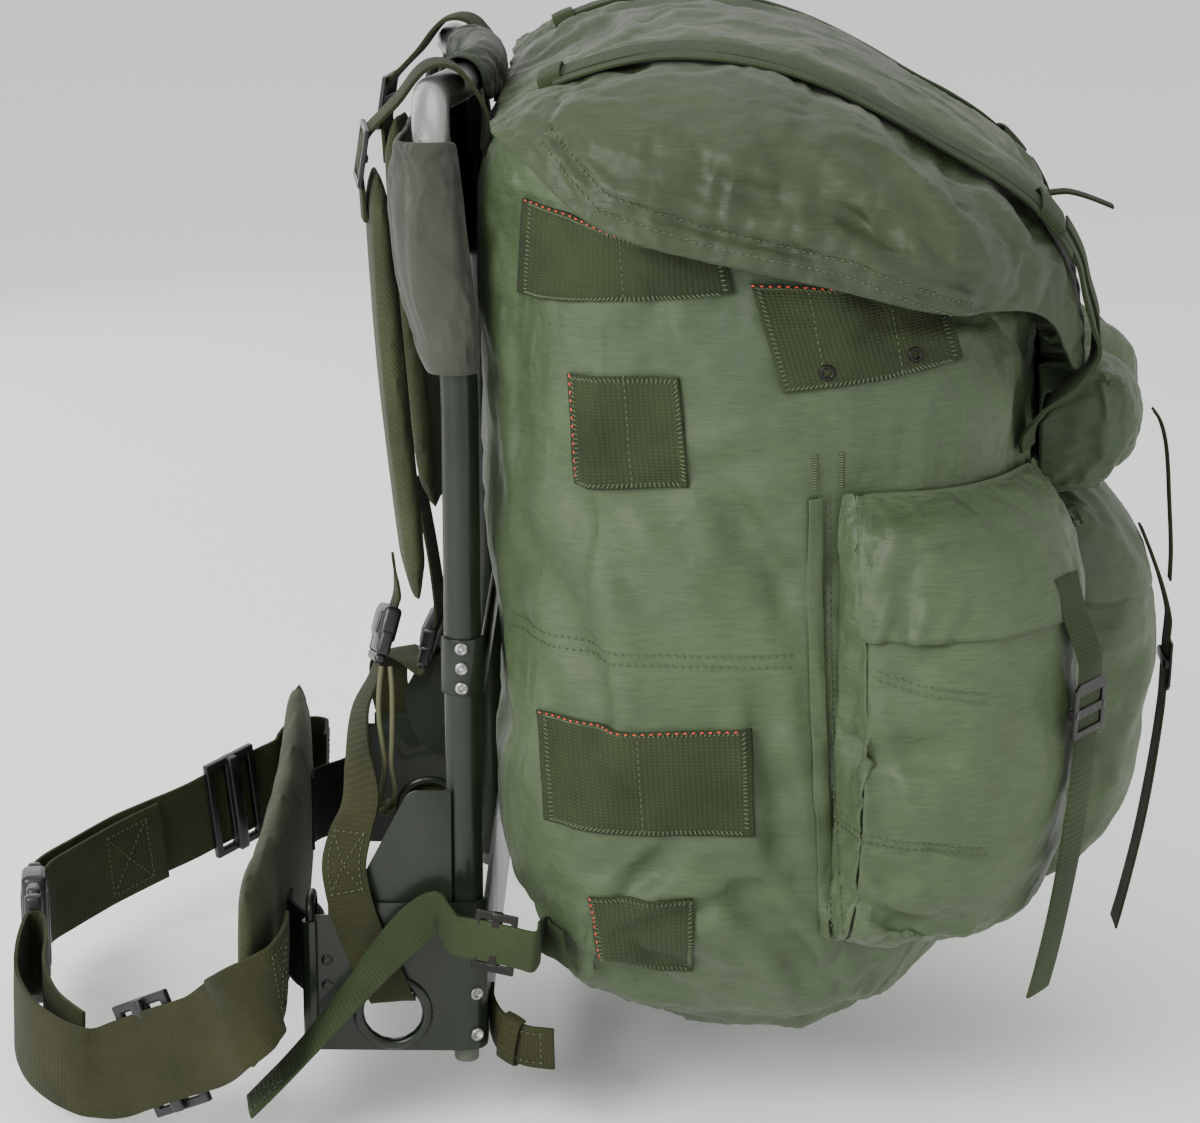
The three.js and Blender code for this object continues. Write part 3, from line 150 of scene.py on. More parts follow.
def add_node(tree, kind, values=(), **settings):
    node = tree.nodes.new(kind)
    for key, value in settings.items():
        setattr(node, key, value)
    for key, value in dict(values).items():
        node.inputs[key].default_value = value
    return node


def place_in(tree, scale=(1.0, 1.0, 1.0), space="Object"):
    source = add_node(tree, "ShaderNodeTexCoord")
    mapping = add_node(tree, "ShaderNodeMapping", {"Scale": scale})
    tree.links.new(source.outputs[space], mapping.inputs["Vector"])
    return mapping.outputs["Vector"]


def noise_of(tree, place, scale, detail=3.0, roughness=0.5, kind="FBM", distortion=0.0):
    values = {"Scale": scale, "Detail": detail, "Roughness": roughness, "Distortion": distortion}
    node = add_node(tree, "ShaderNodeTexNoise", values, noise_type=kind)
    tree.links.new(place, node.inputs["Vector"])
    return node.outputs["Fac"]


def ribs_of(tree, place, period, direction):
    wave = add_node(tree, "ShaderNodeTexWave", {"Scale": math.pi / (10 * period)},
                    bands_direction=direction)
    tree.links.new(place, wave.inputs["Vector"])
    return wave.outputs["Fac"]


def levels_of(tree, value, low, high, out_low=0.0, out_high=1.0):
    node = add_node(tree, "ShaderNodeMapRange", {
        "From Min": low, "From Max": high, "To Min": out_low, "To Max": out_high,
    })
    tree.links.new(value, node.inputs["Value"])
    return node.outputs["Result"]


def feed(tree, node, values):
    """Gives each input its number or colour, or links it to another node's output."""
    for key, value in values.items():
        if isinstance(value, (float, tuple)):
            node.inputs[key].default_value = value
        else:
            tree.links.new(value, node.inputs[key])


def blend_colour(tree, factor, first, second, how="MIX"):
    node = add_node(tree, "ShaderNodeMix", data_type="RGBA", blend_type=how)
    feed(tree, node, {0: factor, 6: first, 7: second})
    return node.outputs[2]


def product_of(tree, first, second):
    node = add_node(tree, "ShaderNodeMath", operation="MULTIPLY")
    feed(tree, node, {0: first, 1: second})
    return node.outputs[0]


def grey_of(tree, value):
    node = add_node(tree, "ShaderNodeCombineColor")
    feed(tree, node, {0: value, 1: value, 2: value})
    return node.outputs[0]


def bump_of(tree, height, strength, distance, before=None):
    node = add_node(tree, "ShaderNodeBump", {"Strength": strength, "Distance": distance})
    tree.links.new(height, node.inputs["Height"])
    if before is not None:
        tree.links.new(before, node.inputs["Normal"])
    return node.outputs["Normal"]


print("finish helpers ready")

# %% [markdown]
# Pack nylon is a tight plain weave with a thin coating. Light catches its creases, and their crests are
# painted paler as a painted highlight. Handling fades it in clouds, and its yarns show as fine level
# streaks. The creases and their painted highlight come from a ridged noise, the streaks from a noise
# drawn out sideways.

# %% Cloth finishes
def nylon_finish(name, dark, light, crease=0.5):
    material, tree, shader = new_finish(name)
    place = place_in(tree)
    streaks = noise_of(tree, place_in(tree, (1.0, 1.0, 11.0)), 85.0, 3.0, 0.65)
    clouds = noise_of(tree, place, 5.5, 4.0, 0.55)
    marks = noise_of(tree, place, 34.0, 5.0, 0.6)
    ridges = noise_of(tree, place, 21.0, 3.0, 0.42, "RIDGED_MULTIFRACTAL", 0.7)
    small_ridges = noise_of(tree, place, 58.0, 2.0, 0.4, "RIDGED_MULTIFRACTAL", 0.9)
    weave_up = ribs_of(tree, place, 0.0011, "Z")
    weave_along = ribs_of(tree, place, 0.0011, "X")
    weave = product_of(tree, weave_up, weave_along)
    colour = blend_colour(tree, levels_of(tree, clouds, 0.3, 0.7), dark, light)
    streaked = levels_of(tree, streaks, 0.3, 0.7, 0.74, 1.2)
    colour = blend_colour(tree, 0.75, colour, grey_of(tree, streaked), "MULTIPLY")
    # Painted highlight: the crests of the creases are painted a paler green.
    wear_and_highlight = levels_of(tree, ridges, 0.6, 1.15, 0.0, 0.36)
    pale = tuple(min(1.0, 1.45 * value + 0.006) for value in light[:3]) + (1.0,)
    colour = blend_colour(tree, wear_and_highlight, colour, pale)
    colour = blend_colour(tree, 0.35, colour,
                          grey_of(tree, levels_of(tree, marks, 0.3, 0.7, 0.7, 1.15)), "MULTIPLY")
    normal = bump_of(tree, weave, 0.2, 0.0004)
    normal = bump_of(tree, streaks, 0.3, 0.0009, normal)
    normal = bump_of(tree, small_ridges, 0.5 * crease, 0.003, normal)
    normal = bump_of(tree, ridges, 0.9 * crease, 0.009, normal)
    feed(tree, shader, {
        "Base Color": colour, "Roughness": levels_of(tree, marks, 0.3, 0.7, 0.5, 0.66),
        "Specular IOR Level": 0.4, "Sheen Weight": 0.04, "Sheen Roughness": 0.4, "Normal": normal,
    })
    return material


def felt_finish():
    material, tree, shader = new_finish("worn_grey_cloth")
    place = place_in(tree)
    nap = noise_of(tree, place, 900.0, 4.0, 0.7)
    clouds = noise_of(tree, place, 16.0, 4.0, 0.6)
    rubbed = noise_of(tree, place_in(tree, (1.0, 1.0, 0.25)), 60.0, 5.0, 0.7)
    colour = blend_colour(tree, levels_of(tree, clouds, 0.3, 0.7),
                          srgb(43, 47, 39), srgb(60, 64, 54))
    colour = blend_colour(tree, levels_of(tree, rubbed, 0.6, 0.8, 0.0, 0.5), colour,
                          srgb(122, 125, 116))
    feed(tree, shader, {
        "Base Color": colour, "Roughness": 0.85, "Specular IOR Level": 0.3, "Sheen Weight": 0.1,
        "Normal": bump_of(tree, clouds, 0.25, 0.004, bump_of(tree, nap, 0.35, 0.0006)),
    })
    return material


def twill_finish(name, dark, light):
    material, tree, shader = new_finish(name)
    place = place_in(tree)
    slant = ribs_of(tree, place, 0.0016, "DIAGONAL")
    clouds = noise_of(tree, place, 14.0, 4.0, 0.6)
    creases = noise_of(tree, place, 45.0, 3.0, 0.5, "RIDGED_MULTIFRACTAL", 0.6)
    colour = blend_colour(tree, levels_of(tree, clouds, 0.3, 0.7), dark, light)
    colour = blend_colour(tree, 0.5, colour,
                          grey_of(tree, levels_of(tree, slant, 0.0, 1.0, 0.75, 1.1)), "MULTIPLY")
    feed(tree, shader, {
        "Base Color": colour, "Roughness": 0.8, "Specular IOR Level": 0.2, "Sheen Weight": 0.03,
        "Normal": bump_of(tree, creases, 0.35, 0.002, bump_of(tree, slant, 0.35, 0.0004)),
    })
    return material


BAG_CLOTH = nylon_finish("bag_cloth", srgb(49, 63, 39), srgb(69, 85, 54))
# The lid's nylon is a darker copy of the bag's: painted shade, because the lid's top gets less light.
LID_CLOTH_SHADED = nylon_finish("lid_shaded_cloth", srgb(38, 49, 27), srgb(53, 65, 36), 0.7)
GATHER_CLOTH = nylon_finish("gather_cloth", srgb(26, 34, 22), srgb(38, 46, 30), 0.7)
ENVELOPE_CLOTH = felt_finish()
PAD_CLOTH = twill_finish("pad_cloth", srgb(42, 46, 28), srgb(58, 63, 40))
print("cloth finishes ready")

# %% [markdown]
# Webbing is woven in thick yarns: bars across the strap and finer lines along it. Each strip has
# its own map in metres, so the pattern bends with the strap as it twists.

# %% Webbing finishes
def webbing_finish(name, dark, light, bar=0.0019, line=0.0012, depth=0.5):
    material, tree, shader = new_finish(name)
    place = place_in(tree, space="UV")
    bars = ribs_of(tree, place, bar, "X")
    lines = ribs_of(tree, place, line, "Y")
    weave = product_of(tree, bars, lines)
    clouds = noise_of(tree, place_in(tree), 18.0, 4.0, 0.6)
    fuzz = noise_of(tree, place_in(tree), 700.0, 3.0, 0.7)
    colour = blend_colour(tree, levels_of(tree, clouds, 0.3, 0.7), dark, light)
    shade = levels_of(tree, weave, 0.0, 0.8, 0.62, 1.12)
    colour = blend_colour(tree, 0.8, colour, grey_of(tree, shade), "MULTIPLY")
    feed(tree, shader, {
        "Base Color": colour, "Roughness": 0.78, "Specular IOR Level": 0.2, "Sheen Weight": 0.02,
        "Normal": bump_of(tree, fuzz, 0.15, 0.0004, bump_of(tree, weave, depth, 0.0006)),
    })
    return material


OLIVE_WEBBING = webbing_finish("olive_webbing", srgb(37, 39, 20), srgb(51, 53, 28))
GREEN_WEBBING = webbing_finish("green_webbing", srgb(38, 49, 27), srgb(54, 66, 38))
PATCH_WEBBING = webbing_finish("patch_webbing", srgb(37, 46, 25), srgb(53, 62, 36), 0.0017, 0.0026,
                               0.8)
# Painted shade: the pad links' loops sit in shadow, and this near-black webbing stands in for that
# shade.
SHADOW_BLACK_WEBBING = webbing_finish("black_webbing", srgb(22, 23, 20), srgb(34, 35, 31))
print("webbing finishes ready")

# %% [markdown]
# The hard pieces: dark green gloss paint with a few chips, moulded black plastic, and buckles whose
# dark coating is rubbed bright where the webbing drags over them.

# %% Hard finishes
def paint_finish():
    material, tree, shader = new_finish("frame_paint")
    place = place_in(tree)
    peel = noise_of(tree, place, 420.0, 2.0)
    dirt = noise_of(tree, place, 24.0, 5.0, 0.6)
    chips = noise_of(tree, place, 95.0, 6.0, 0.65)
    colour = blend_colour(tree, levels_of(tree, dirt, 0.3, 0.7), srgb(17, 23, 15),
                          srgb(27, 35, 23))
    colour = blend_colour(tree, levels_of(tree, chips, 0.7, 0.74, 0.0, 0.5), colour,
                          srgb(86, 90, 80))
    height = add_node(tree, "ShaderNodeSeparateXYZ")
    tree.links.new(place, height.inputs["Vector"])
    worn_top = levels_of(tree, height.outputs["Z"], -0.024, -0.02)
    patchy = levels_of(tree, noise_of(tree, place, 40.0, 4.0, 0.6), 0.36, 0.44)
    bare = product_of(tree, worn_top, patchy)
    feed(tree, shader, {
        "Base Color": blend_colour(tree, bare, colour, srgb(150, 151, 148)),
        "Metallic": product_of(tree, bare, 0.85),
        "Roughness": levels_of(tree, dirt, 0.3, 0.7, 0.26, 0.42),
        "Specular IOR Level": 0.3, "Coat Weight": 0.1, "Normal": bump_of(tree, peel, 0.08, 0.0004),
    })
    return material


def plastic_finish(name, base, edge, rough):
    material, tree, shader = new_finish(name)
    place = place_in(tree)
    grain = noise_of(tree, place, 600.0, 3.0)
    rubbed = noise_of(tree, place, 60.0, 5.0, 0.6)
    feed(tree, shader, {
        "Base Color": blend_colour(tree, levels_of(tree, rubbed, 0.5, 0.75), base, edge),
        "Roughness": levels_of(tree, rubbed, 0.3, 0.7, rough - 0.08, rough + 0.1),
        "Normal": bump_of(tree, grain, 0.12, 0.0004),
    })
    return material


def metal_finish(name, base, wear_and_highlight, amount):
    material, tree, shader = new_finish(name)
    place = place_in(tree)
    rubbed = noise_of(tree, place, 170.0, 6.0, 0.65)
    scratch = noise_of(tree, place_in(tree, (1.0, 1.0, 0.12)), 900.0, 3.0, 0.6)
    bright = levels_of(tree, rubbed, 0.62 - amount, 0.72 - amount)
    feed(tree, shader, {
        "Base Color": blend_colour(tree, bright, base, wear_and_highlight), "Metallic": 0.8,
        "Roughness": levels_of(tree, scratch, 0.3, 0.7, 0.28, 0.5),
        "Normal": bump_of(tree, scratch, 0.1, 0.0003),
    })
    return material


def thread_finish(name, colour, pale):
    material, tree, shader = new_finish(name)
    place = place_in(tree)
    twist = ribs_of(tree, place, 0.0006, "DIAGONAL")
    feed(tree, shader, {"Base Color": blend_colour(tree, twist, colour, pale), "Roughness": 0.7,
                        "Normal": bump_of(tree, twist, 0.3, 0.0003)})
    return material


def paper_finish():
    material, tree, shader = new_finish("floor_paper")
    clouds = noise_of(tree, place_in(tree), 3.0, 2.0)
    feed(tree, shader, {
        "Base Color": blend_colour(tree, clouds, srgb(250, 250, 249), srgb(254, 254, 253)),
        "Roughness": 0.9,
    })
    return material


FRAME_PAINT = paint_finish()
BLACK_PLASTIC = plastic_finish("black_plastic", srgb(14, 14, 15), srgb(30, 29, 30), 0.36)
FOOT_PLASTIC = plastic_finish("foot_plastic", srgb(58, 64, 52), srgb(74, 80, 66), 0.5)
DARK_METAL = metal_finish("dark_metal", srgb(38, 37, 35), srgb(128, 124, 116), 0.0)
BARE_METAL = metal_finish("bare_metal", srgb(118, 118, 116), srgb(196, 196, 194), 0.12)
GREEN_THREAD = thread_finish("green_thread", srgb(46, 56, 36), srgb(78, 90, 60))
RED_THREAD = thread_finish("red_thread", srgb(196, 36, 30), srgb(228, 84, 66))
CORD_BRAID = thread_finish("cord_braid", srgb(62, 64, 42), srgb(92, 94, 64))
floor.data.materials.append(paper_finish())
print("hard finishes ready:", len(bpy.data.materials))

# %% [markdown]
# A finished form becomes a piece: an object at the origin whose place is in its mesh. It rides on
# the pack's one body, and the measured solids it stands for are hidden.

# %% Helpers for pieces
def make_piece(name, form, finish, nodes=()):
    mesh = bpy.data.meshes.new(name)
    form.to_mesh(mesh)
    form.free()
    piece = bpy.data.objects.new(name, mesh)
    bpy.context.collection.objects.link(piece)
    mesh.materials.append(finish)
    smooth_faces(piece)
    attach(piece, "root")
    if nodes:
        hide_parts(*nodes)
    return piece


def smooth_faces(piece):
    piece.data.polygons.foreach_set("use_smooth", [True] * len(piece.data.polygons))


def node_form(node):
    form = bmesh.new()
    form.from_mesh(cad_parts[node].data)
    bmesh.ops.remove_doubles(form, verts=form.verts, dist=0.02 * MM)
    return form


def add_modifier(piece, kind, **settings):
    modifier = piece.modifiers.new(kind.lower(), kind)
    for key, value in settings.items():
        setattr(modifier, key, value)
    return modifier


def applied(piece):
    """The piece's mesh with all its modifiers applied."""
    shape = piece.evaluated_get(bpy.context.evaluated_depsgraph_get())
    mesh = bpy.data.meshes.new_from_object(shape)
    piece.modifiers.clear()
    old = piece.data
    piece.data = mesh
    bpy.data.meshes.remove(old)
    return piece


def round_edges(piece, width, from_angle):
    add_modifier(piece, "BEVEL", width=width * MM, segments=3, limit_method="ANGLE",
                 angle_limit=math.radians(from_angle), harden_normals=True)


def bevelled_node(node, finish, width):
    """A measured hard solid with its flat faces joined and its edges rounded."""
    form = node_form(node)
    bmesh.ops.dissolve_limit(form, angle_limit=math.radians(1), verts=form.verts, edges=form.edges)
    round_edges(make_piece(f"{node}_finished", form, finish, (node,)), width, 38)


print("piece helpers ready")

# %% [markdown]
# A measured strap is a row of four-cornered sections. Walking from one end to the other gives its
# middle line, its direction across and its outer face, and from those any finer strap can be made.

# %% Reading a strap's route
def read_strap(node, outward):
    form = node_form(node)
    ends = [v for v in form.verts if len(v.link_edges) == 4
            and all(len(e.other_vert(v).link_edges) >= 4 for e in v.link_edges)]
    seen = {ends[0]}
    ring = [edge.other_vert(ends[0]) for edge in ends[0].link_edges]
    stations = []
    while len(ring) == 4:
        seen.update(ring)
        corners = [v.co.copy() for v in ring]
        near = min((1, 2, 3), key=lambda k: (corners[k] - corners[0]).length)
        pair = (corners[0] + corners[near]) / 2
        others = [corners[k] for k in (1, 2, 3) if k != near]
        other = (others[0] + others[1]) / 2
        across = pair - other
        width = across.length
        across.normalize()
        if stations and across.dot(stations[-1]["across"]) < 0:
            across = -across
        thick = (corners[near] - corners[0]).length
        stations.append({"at": (pair + other) / 2, "across": across, "width": width,
                         "thick": thick})
        ring = list({e.other_vert(v) for v in ring for e in v.link_edges} - seen)
    form.free()
    for k, row in enumerate(stations):
        ahead = stations[min(k + 1, len(stations) - 1)]["at"]
        behind = stations[max(k - 1, 0)]["at"]
        row["along"] = (ahead - behind).normalized()
        row["out"] = row["along"].cross(row["across"]).normalized()
    middle = stations[len(stations) // 2]
    if middle["out"].dot(Vector(outward)) < 0:
        for row in stations:
            row["across"] = -row["across"]
            row["out"] = -row["out"]
    return stations


def blend_stations(stations, share):
    """The place at a share of the strap's rows, on a smooth curve through them."""
    place = min(max(share, 0.0), 1.0) * (len(stations) - 1)
    k = min(int(place), len(stations) - 2)
    t = place - k
    points = [stations[min(max(k + step, 0), len(stations) - 1)]["at"] for step in (-1, 0, 1, 2)]
    a, b, c, d = points
    middle = 0.5 * ((2 * b) + (c - a) * t + (2 * a - 5 * b + 4 * c - d) * t * t
                    + (3 * b - a - 3 * c + d) * t ** 3)
    slope = 0.5 * ((c - a) + 2 * (2 * a - 5 * b + 4 * c - d) * t + 3 * (3 * b - a - 3 * c + d) * t * t)
    across = stations[k]["across"].lerp(stations[k + 1]["across"], t)
    along = slope.normalized()
    across = (across - along * across.dot(along)).normalized()
    return {"at": middle, "across": across, "along": along, "out": along.cross(across)}


def route_length(stations):
    return sum((b["at"] - a["at"]).length for a, b in zip(stations, stations[1:]))


# %% [markdown]
# Webbing starts as a flat grid. Its long side is laid along the route and its short side across, a
# slow noise makes it cup and wander a little as real webbing does, and a wall gives its thickness.

# %% Webbing strips
STRAP_CUP = 0.4


def webbing_strip(name, stations, finish, nodes=(), width=None, thick=None, wander=0.7,
                  spacing=2.5, lift=0.0, seed=0.0, part=(0.0, 1.0), slide=0.0):
    wide = width * MM if width else stations[0]["width"]
    deep = thick * MM if thick else stations[0]["thick"]
    length = route_length(stations) * (part[1] - part[0])
    steps = max(8, int(length / (spacing * MM)))
    form = bmesh.new()
    layer = form.loops.layers.uv.new("strap")
    bmesh.ops.create_grid(form, x_segments=steps, y_segments=8, size=0.5, calc_uvs=True)
    for face in form.faces:
        for loop in face.loops:
            u, v = loop[layer].uv
            loop[layer].uv = (u * length, v * wide)
    for vert in form.verts:
        share = part[0] + (vert.co.x + 0.5) * (part[1] - part[0])
        side = vert.co.y
        row = blend_stations(stations, share)
        sway = noise.noise(Vector((share * length * 14 + seed, seed, 0.3))) * wander * MM
        ripple = noise.noise(Vector((share * length * 30 + seed, side * 2, 5.1))) * 0.5 * wander * MM
        bow = STRAP_CUP * MM * (1 - 4 * side * side)
        vert.co = (row["at"] + row["across"] * (side * wide + 0.5 * sway + slide * MM)
                   + row["out"] * (lift * MM + bow + ripple))
    piece = make_piece(name, form, finish, nodes)
    add_modifier(piece, "SOLIDIFY", thickness=deep * 0.92, offset=0.0)
    add_modifier(piece, "BEVEL", width=0.28 * MM, segments=2, limit_method="ANGLE",
                 angle_limit=math.radians(50))
    return piece


print("strap helpers ready")

# %% [markdown]
# Stitches are short soft pegs of thread, laid end to end with a gap. A row is given as a line of
# points with the direction that faces out. Whip stitches lie across an edge instead of along it.

# %% Stitches
class Thread:
    """Collects the stitches of one thread, a small form for each row."""

    def __init__(self):
        self.rows = []
        self.count = 0

    def stitch(self, form, place, direction, out, length, radius):
        along = direction.normalized()
        side = out.cross(along).normalized()
        top = along.cross(side)
        turn = Matrix((along, side, top)).transposed().to_4x4()
        size = Matrix.Diagonal((length / 2, radius, radius * 0.8, 1.0))
        bmesh.ops.create_uvsphere(form, u_segments=5, v_segments=4, radius=1.0,
                                  matrix=Matrix.Translation(place) @ turn @ size)
        self.count += 1

    def keep(self, form):
        mesh = bpy.data.meshes.new("stitch_row")
        form.to_mesh(mesh)
        form.free()
        self.rows.append(mesh)

    def row(self, points, outs, length, gap, radius, lift=0.25):
        self.along_line(points, outs, (length + gap) * MM, lambda form, place, along, out, k:
                        self.stitch(form, place + out * lift * MM, along, out, length * MM,
                                    radius * MM))

    def whip(self, points, outs, sides, pitch, length, radius, lift=0.3):
        self.along_line(points, outs, pitch * MM, lambda form, place, along, out, k:
                        self.stitch(form, place + out * lift * MM, sides[k] + along * 0.25, out,
                                    length * MM, radius * MM))

    def along_line(self, points, outs, pitch, make):
        form = bmesh.new()
        carried = 0.0
        for k, (a, b, out) in enumerate(zip(points, points[1:], outs)):
            step = (b - a).length
            if step < 1e-7 or step > 12 * MM:
                continue
            along = (b - a) / step
            while carried < step:
                make(form, a + along * carried, along, out, k)
                carried += pitch
            carried -= step
        self.keep(form)

    def finish(self, name, finish, slot):
        whole = bmesh.new()
        for mesh in self.rows:
            whole.from_mesh(mesh)
            bpy.data.meshes.remove(mesh)
        print(name, "has", self.count, "stitches")
        return make_piece(name, whole, finish)


green_stitches = Thread()
red_stitches = Thread()

# %% [markdown]
# Two short braided cords hang from the near release buckle to a shared knot. They are thin and
# limp, so each is a curve through a few points of its real route.

# %% Release cords
CORD_DIAMETER = 3.0
CORDS = {
    "release_cord_front": [
        (-44.6, -110, 206), (-45.6, -115, 195), (-46, -115, 180), (-44.5, -115, 165),
        (-43.4, -115, 152), (-45, -116, 140), (-46, -116, 129),
    ],
    "release_cord_rear": [
        (-40, -110, 206), (-39, -114, 195), (-39, -115, 180), (-39.4, -115, 165),
        (-39.8, -115, 152), (-38, -116, 141), (-38.6, -116, 132),
    ],
}


def cord_piece(node, route):
    points = [at(*row) for row in route]
    curve = bpy.data.curves.new(f"{node}_braid", "CURVE")
    curve.dimensions = "3D"
    curve.bevel_depth = CORD_DIAMETER / 2 * MM
    curve.bevel_resolution = 3
    curve.resolution_u = 8
    spline = curve.splines.new("BEZIER")
    spline.bezier_points.add(len(points) - 1)
    for knot, point in zip(spline.bezier_points, points):
        knot.co = point
        knot.handle_left_type = "AUTO"
        knot.handle_right_type = "AUTO"
    curve.use_fill_caps = True
    piece = bpy.data.objects.new(f"{node}_braid", curve)
    bpy.context.collection.objects.link(piece)
    curve.materials.append(CORD_BRAID)
    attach(piece, "root")
    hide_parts(node)
    length = sum((b - a).length for a, b in zip(points, points[1:]))
    return length


for cord_node, cord_route in CORDS.items():
    print(cord_node, "is", round(cord_piece(cord_node, cord_route) / MM, 1), "mm long")

# %% [markdown]
# Soft pieces begin as the outer sheet of their measured solid. Blender's cloth then buckles it: the
# sheet is made a few per cent too large, air presses from inside, and the seams are held still. The
# result is kept within a few millimetres of its start, so that the pack keeps its measured size.

# %% Cloth helpers
def outer_sheet(node, inside, thinnest=3.2):
    form = node_form(node)
    centre = at(*inside)

    def faces_out(face):
        return face.normal.dot(face.calc_center_median() - centre) > 0

    def is_rim(face):
        return min(edge.calc_length() for edge in face.edges) < thinnest * MM

    doomed = [face for face in form.faces if is_rim(face) or not faces_out(face)]
    bmesh.ops.delete(form, geom=doomed, context="FACES")
    bmesh.ops.join_triangles(form, faces=form.faces, angle_face_threshold=math.radians(60),
                             angle_shape_threshold=math.radians(70))
    return form


def refine(piece, levels):
    add_modifier(piece, "SUBSURF", levels=levels, render_levels=levels, use_limit_surface=False)
    return applied(piece)


def distance_to(nodes):
    """A function that gives a point's distance to the nearest of some measured solids."""
    form = bmesh.new()
    for node in nodes:
        form.from_mesh(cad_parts[node].data)
    tree = BVHTree.FromBMesh(form)
    form.free()
    return lambda point: tree.find_nearest(point)[3]


def edge_points(piece):
    form = bmesh.new()
    form.from_mesh(piece.data)
    edges = {v.index for v in form.verts if v.is_boundary}
    form.free()
    return edges


def surface_edges(piece):
    """A function that gives a point's distance to the open edge of a sheet."""
    points = [piece.data.vertices[k].co.copy() for k in edge_points(piece)]
    tree = KDTree(len(points))
    for number, point in enumerate(points):
        tree.insert(point, number)
    tree.balance()
    return lambda point: tree.find(point)[2]


def relax_cloth(piece, weights, growth=0.03, pressure=2.0, cap=8.0, bending=0.1, frames=20,
                hem_growth=None, hem=None):
    start = [v.co.copy() for v in piece.data.vertices]
    hold = piece.vertex_groups.new(name="hold")
    for index, weight in weights.items():
        hold.add([index], weight, "REPLACE")
    modifier = piece.modifiers.new("cloth", "CLOTH")
    cloth = modifier.settings
    cloth.quality = 5
    cloth.mass = 0.2
    cloth.tension_stiffness = 15
    cloth.compression_stiffness = 15
    cloth.shear_stiffness = 5
    cloth.bending_stiffness = bending
    cloth.air_damping = 2
    cloth.use_pressure = True
    cloth.uniform_pressure_force = pressure
    cloth.shrink_min = -growth
    if hem:
        group = piece.vertex_groups.new(name="hem")
        for index, weight in hem.items():
            group.add([index], weight, "REPLACE")
        cloth.vertex_group_shrink = "hem"
        cloth.shrink_max = -hem_growth
    if weights:
        cloth.vertex_group_mass = "hold"
        cloth.pin_stiffness = 1.0
    cloth.effector_weights.gravity = 0.0
    modifier.point_cache.frame_start = 1
    modifier.point_cache.frame_end = frames
    for step in range(1, frames + 1):
        bpy.context.scene.frame_set(step)
    applied(piece)
    reach = cap * MM
    for vert, origin in zip(piece.data.vertices, start):
        moved = vert.co - origin
        if moved.length > 1e-6:
            vert.co = origin + moved * (reach * math.tanh(moved.length / reach) / moved.length)
    piece.vertex_groups.clear()
    bpy.context.scene.frame_set(1)


def press_folds(piece, folds):
    """Presses long creases, each with a raised edge beside it, into a sheet's near side."""
    piece.data.update()
    count = len(piece.data.vertices)
    places, normals = np.empty(3 * count), np.empty(3 * count)
    piece.data.vertices.foreach_get("co", places)
    piece.data.vertices.foreach_get("normal", normals)
    places, normals = places.reshape(-1, 3), normals.reshape(-1, 3)
    side = np.array((0.0, -1.0, 0.0))
    facing_it = normals @ side > 0.25
    for row in folds:
        start, end = np.array(at(*row["from"])), np.array(at(*row["to"]))
        line = (end - start) - side * ((end - start) @ side)
        length = np.linalg.norm(line)
        along = line / length
        width = row["width"] * MM
        offset = places - start
        offset -= np.outer(offset @ side, side)
        share = offset @ along / length
        across = np.linalg.norm(offset - np.outer(offset @ along, along), axis=1)
        near = np.nonzero(facing_it & (share > -0.1) & (share < 1.1) & (across < 3.6 * width))[0]
        for index in near:
            wander = 0.35 * width * noise.noise(Vector(places[index]) * 45)
            off = (across[index] + wander) / width
            taper = math.sin(math.pi * (share[index] + 0.1) / 1.2) ** 0.6
            press = 0.55 * math.exp(-((off - 1.7) / 0.8) ** 2) - math.exp(-off ** 2)
            places[index] += normals[index] * (press * row["depth"] * MM * taper)
    piece.data.vertices.foreach_set("co", places.ravel())
    piece.data.update()


def crumple(piece, depth, size, strength, stretch, seed):
    """Lifts a net of sharp little creases, deeper where a point's strength says so."""
    piece.data.update()
    normals = [v.normal.copy() for v in piece.data.vertices]
    scale = Vector(stretch) / (size * MM)
    drift = Vector((seed, 2.7 * seed, 5.1 * seed))
    amounts = strength or [1.0] * len(normals)
    for vert, normal, amount in zip(piece.data.vertices, normals, amounts):
        if amount <= 0:
            continue
        place = vert.co * scale + drift
        place += noise.noise_vector(place * 0.55) * 0.9
        crest = noise.ridged_multi_fractal(place, 0.95, 2.1, 4, 1.0, 2.0)
        wave = noise.noise(place * 0.4)
        vert.co += normal * (min(crest, 2.4) - 1.1 + 1.4 * wave) * depth * amount * MM


def add_wall(piece, thickness):
    add_modifier(piece, "SOLIDIFY", thickness=thickness * MM, offset=-1.0, use_quality_normals=True)


def area_of(piece):
    return sum(face.area for face in piece.data.polygons)


print("cloth helpers ready")

# %% [markdown]
# The bag is one big tube of nylon, closed below and open above under the lid. It is held still where
# the frame, the pockets and the straps press on it, and buckles in between.

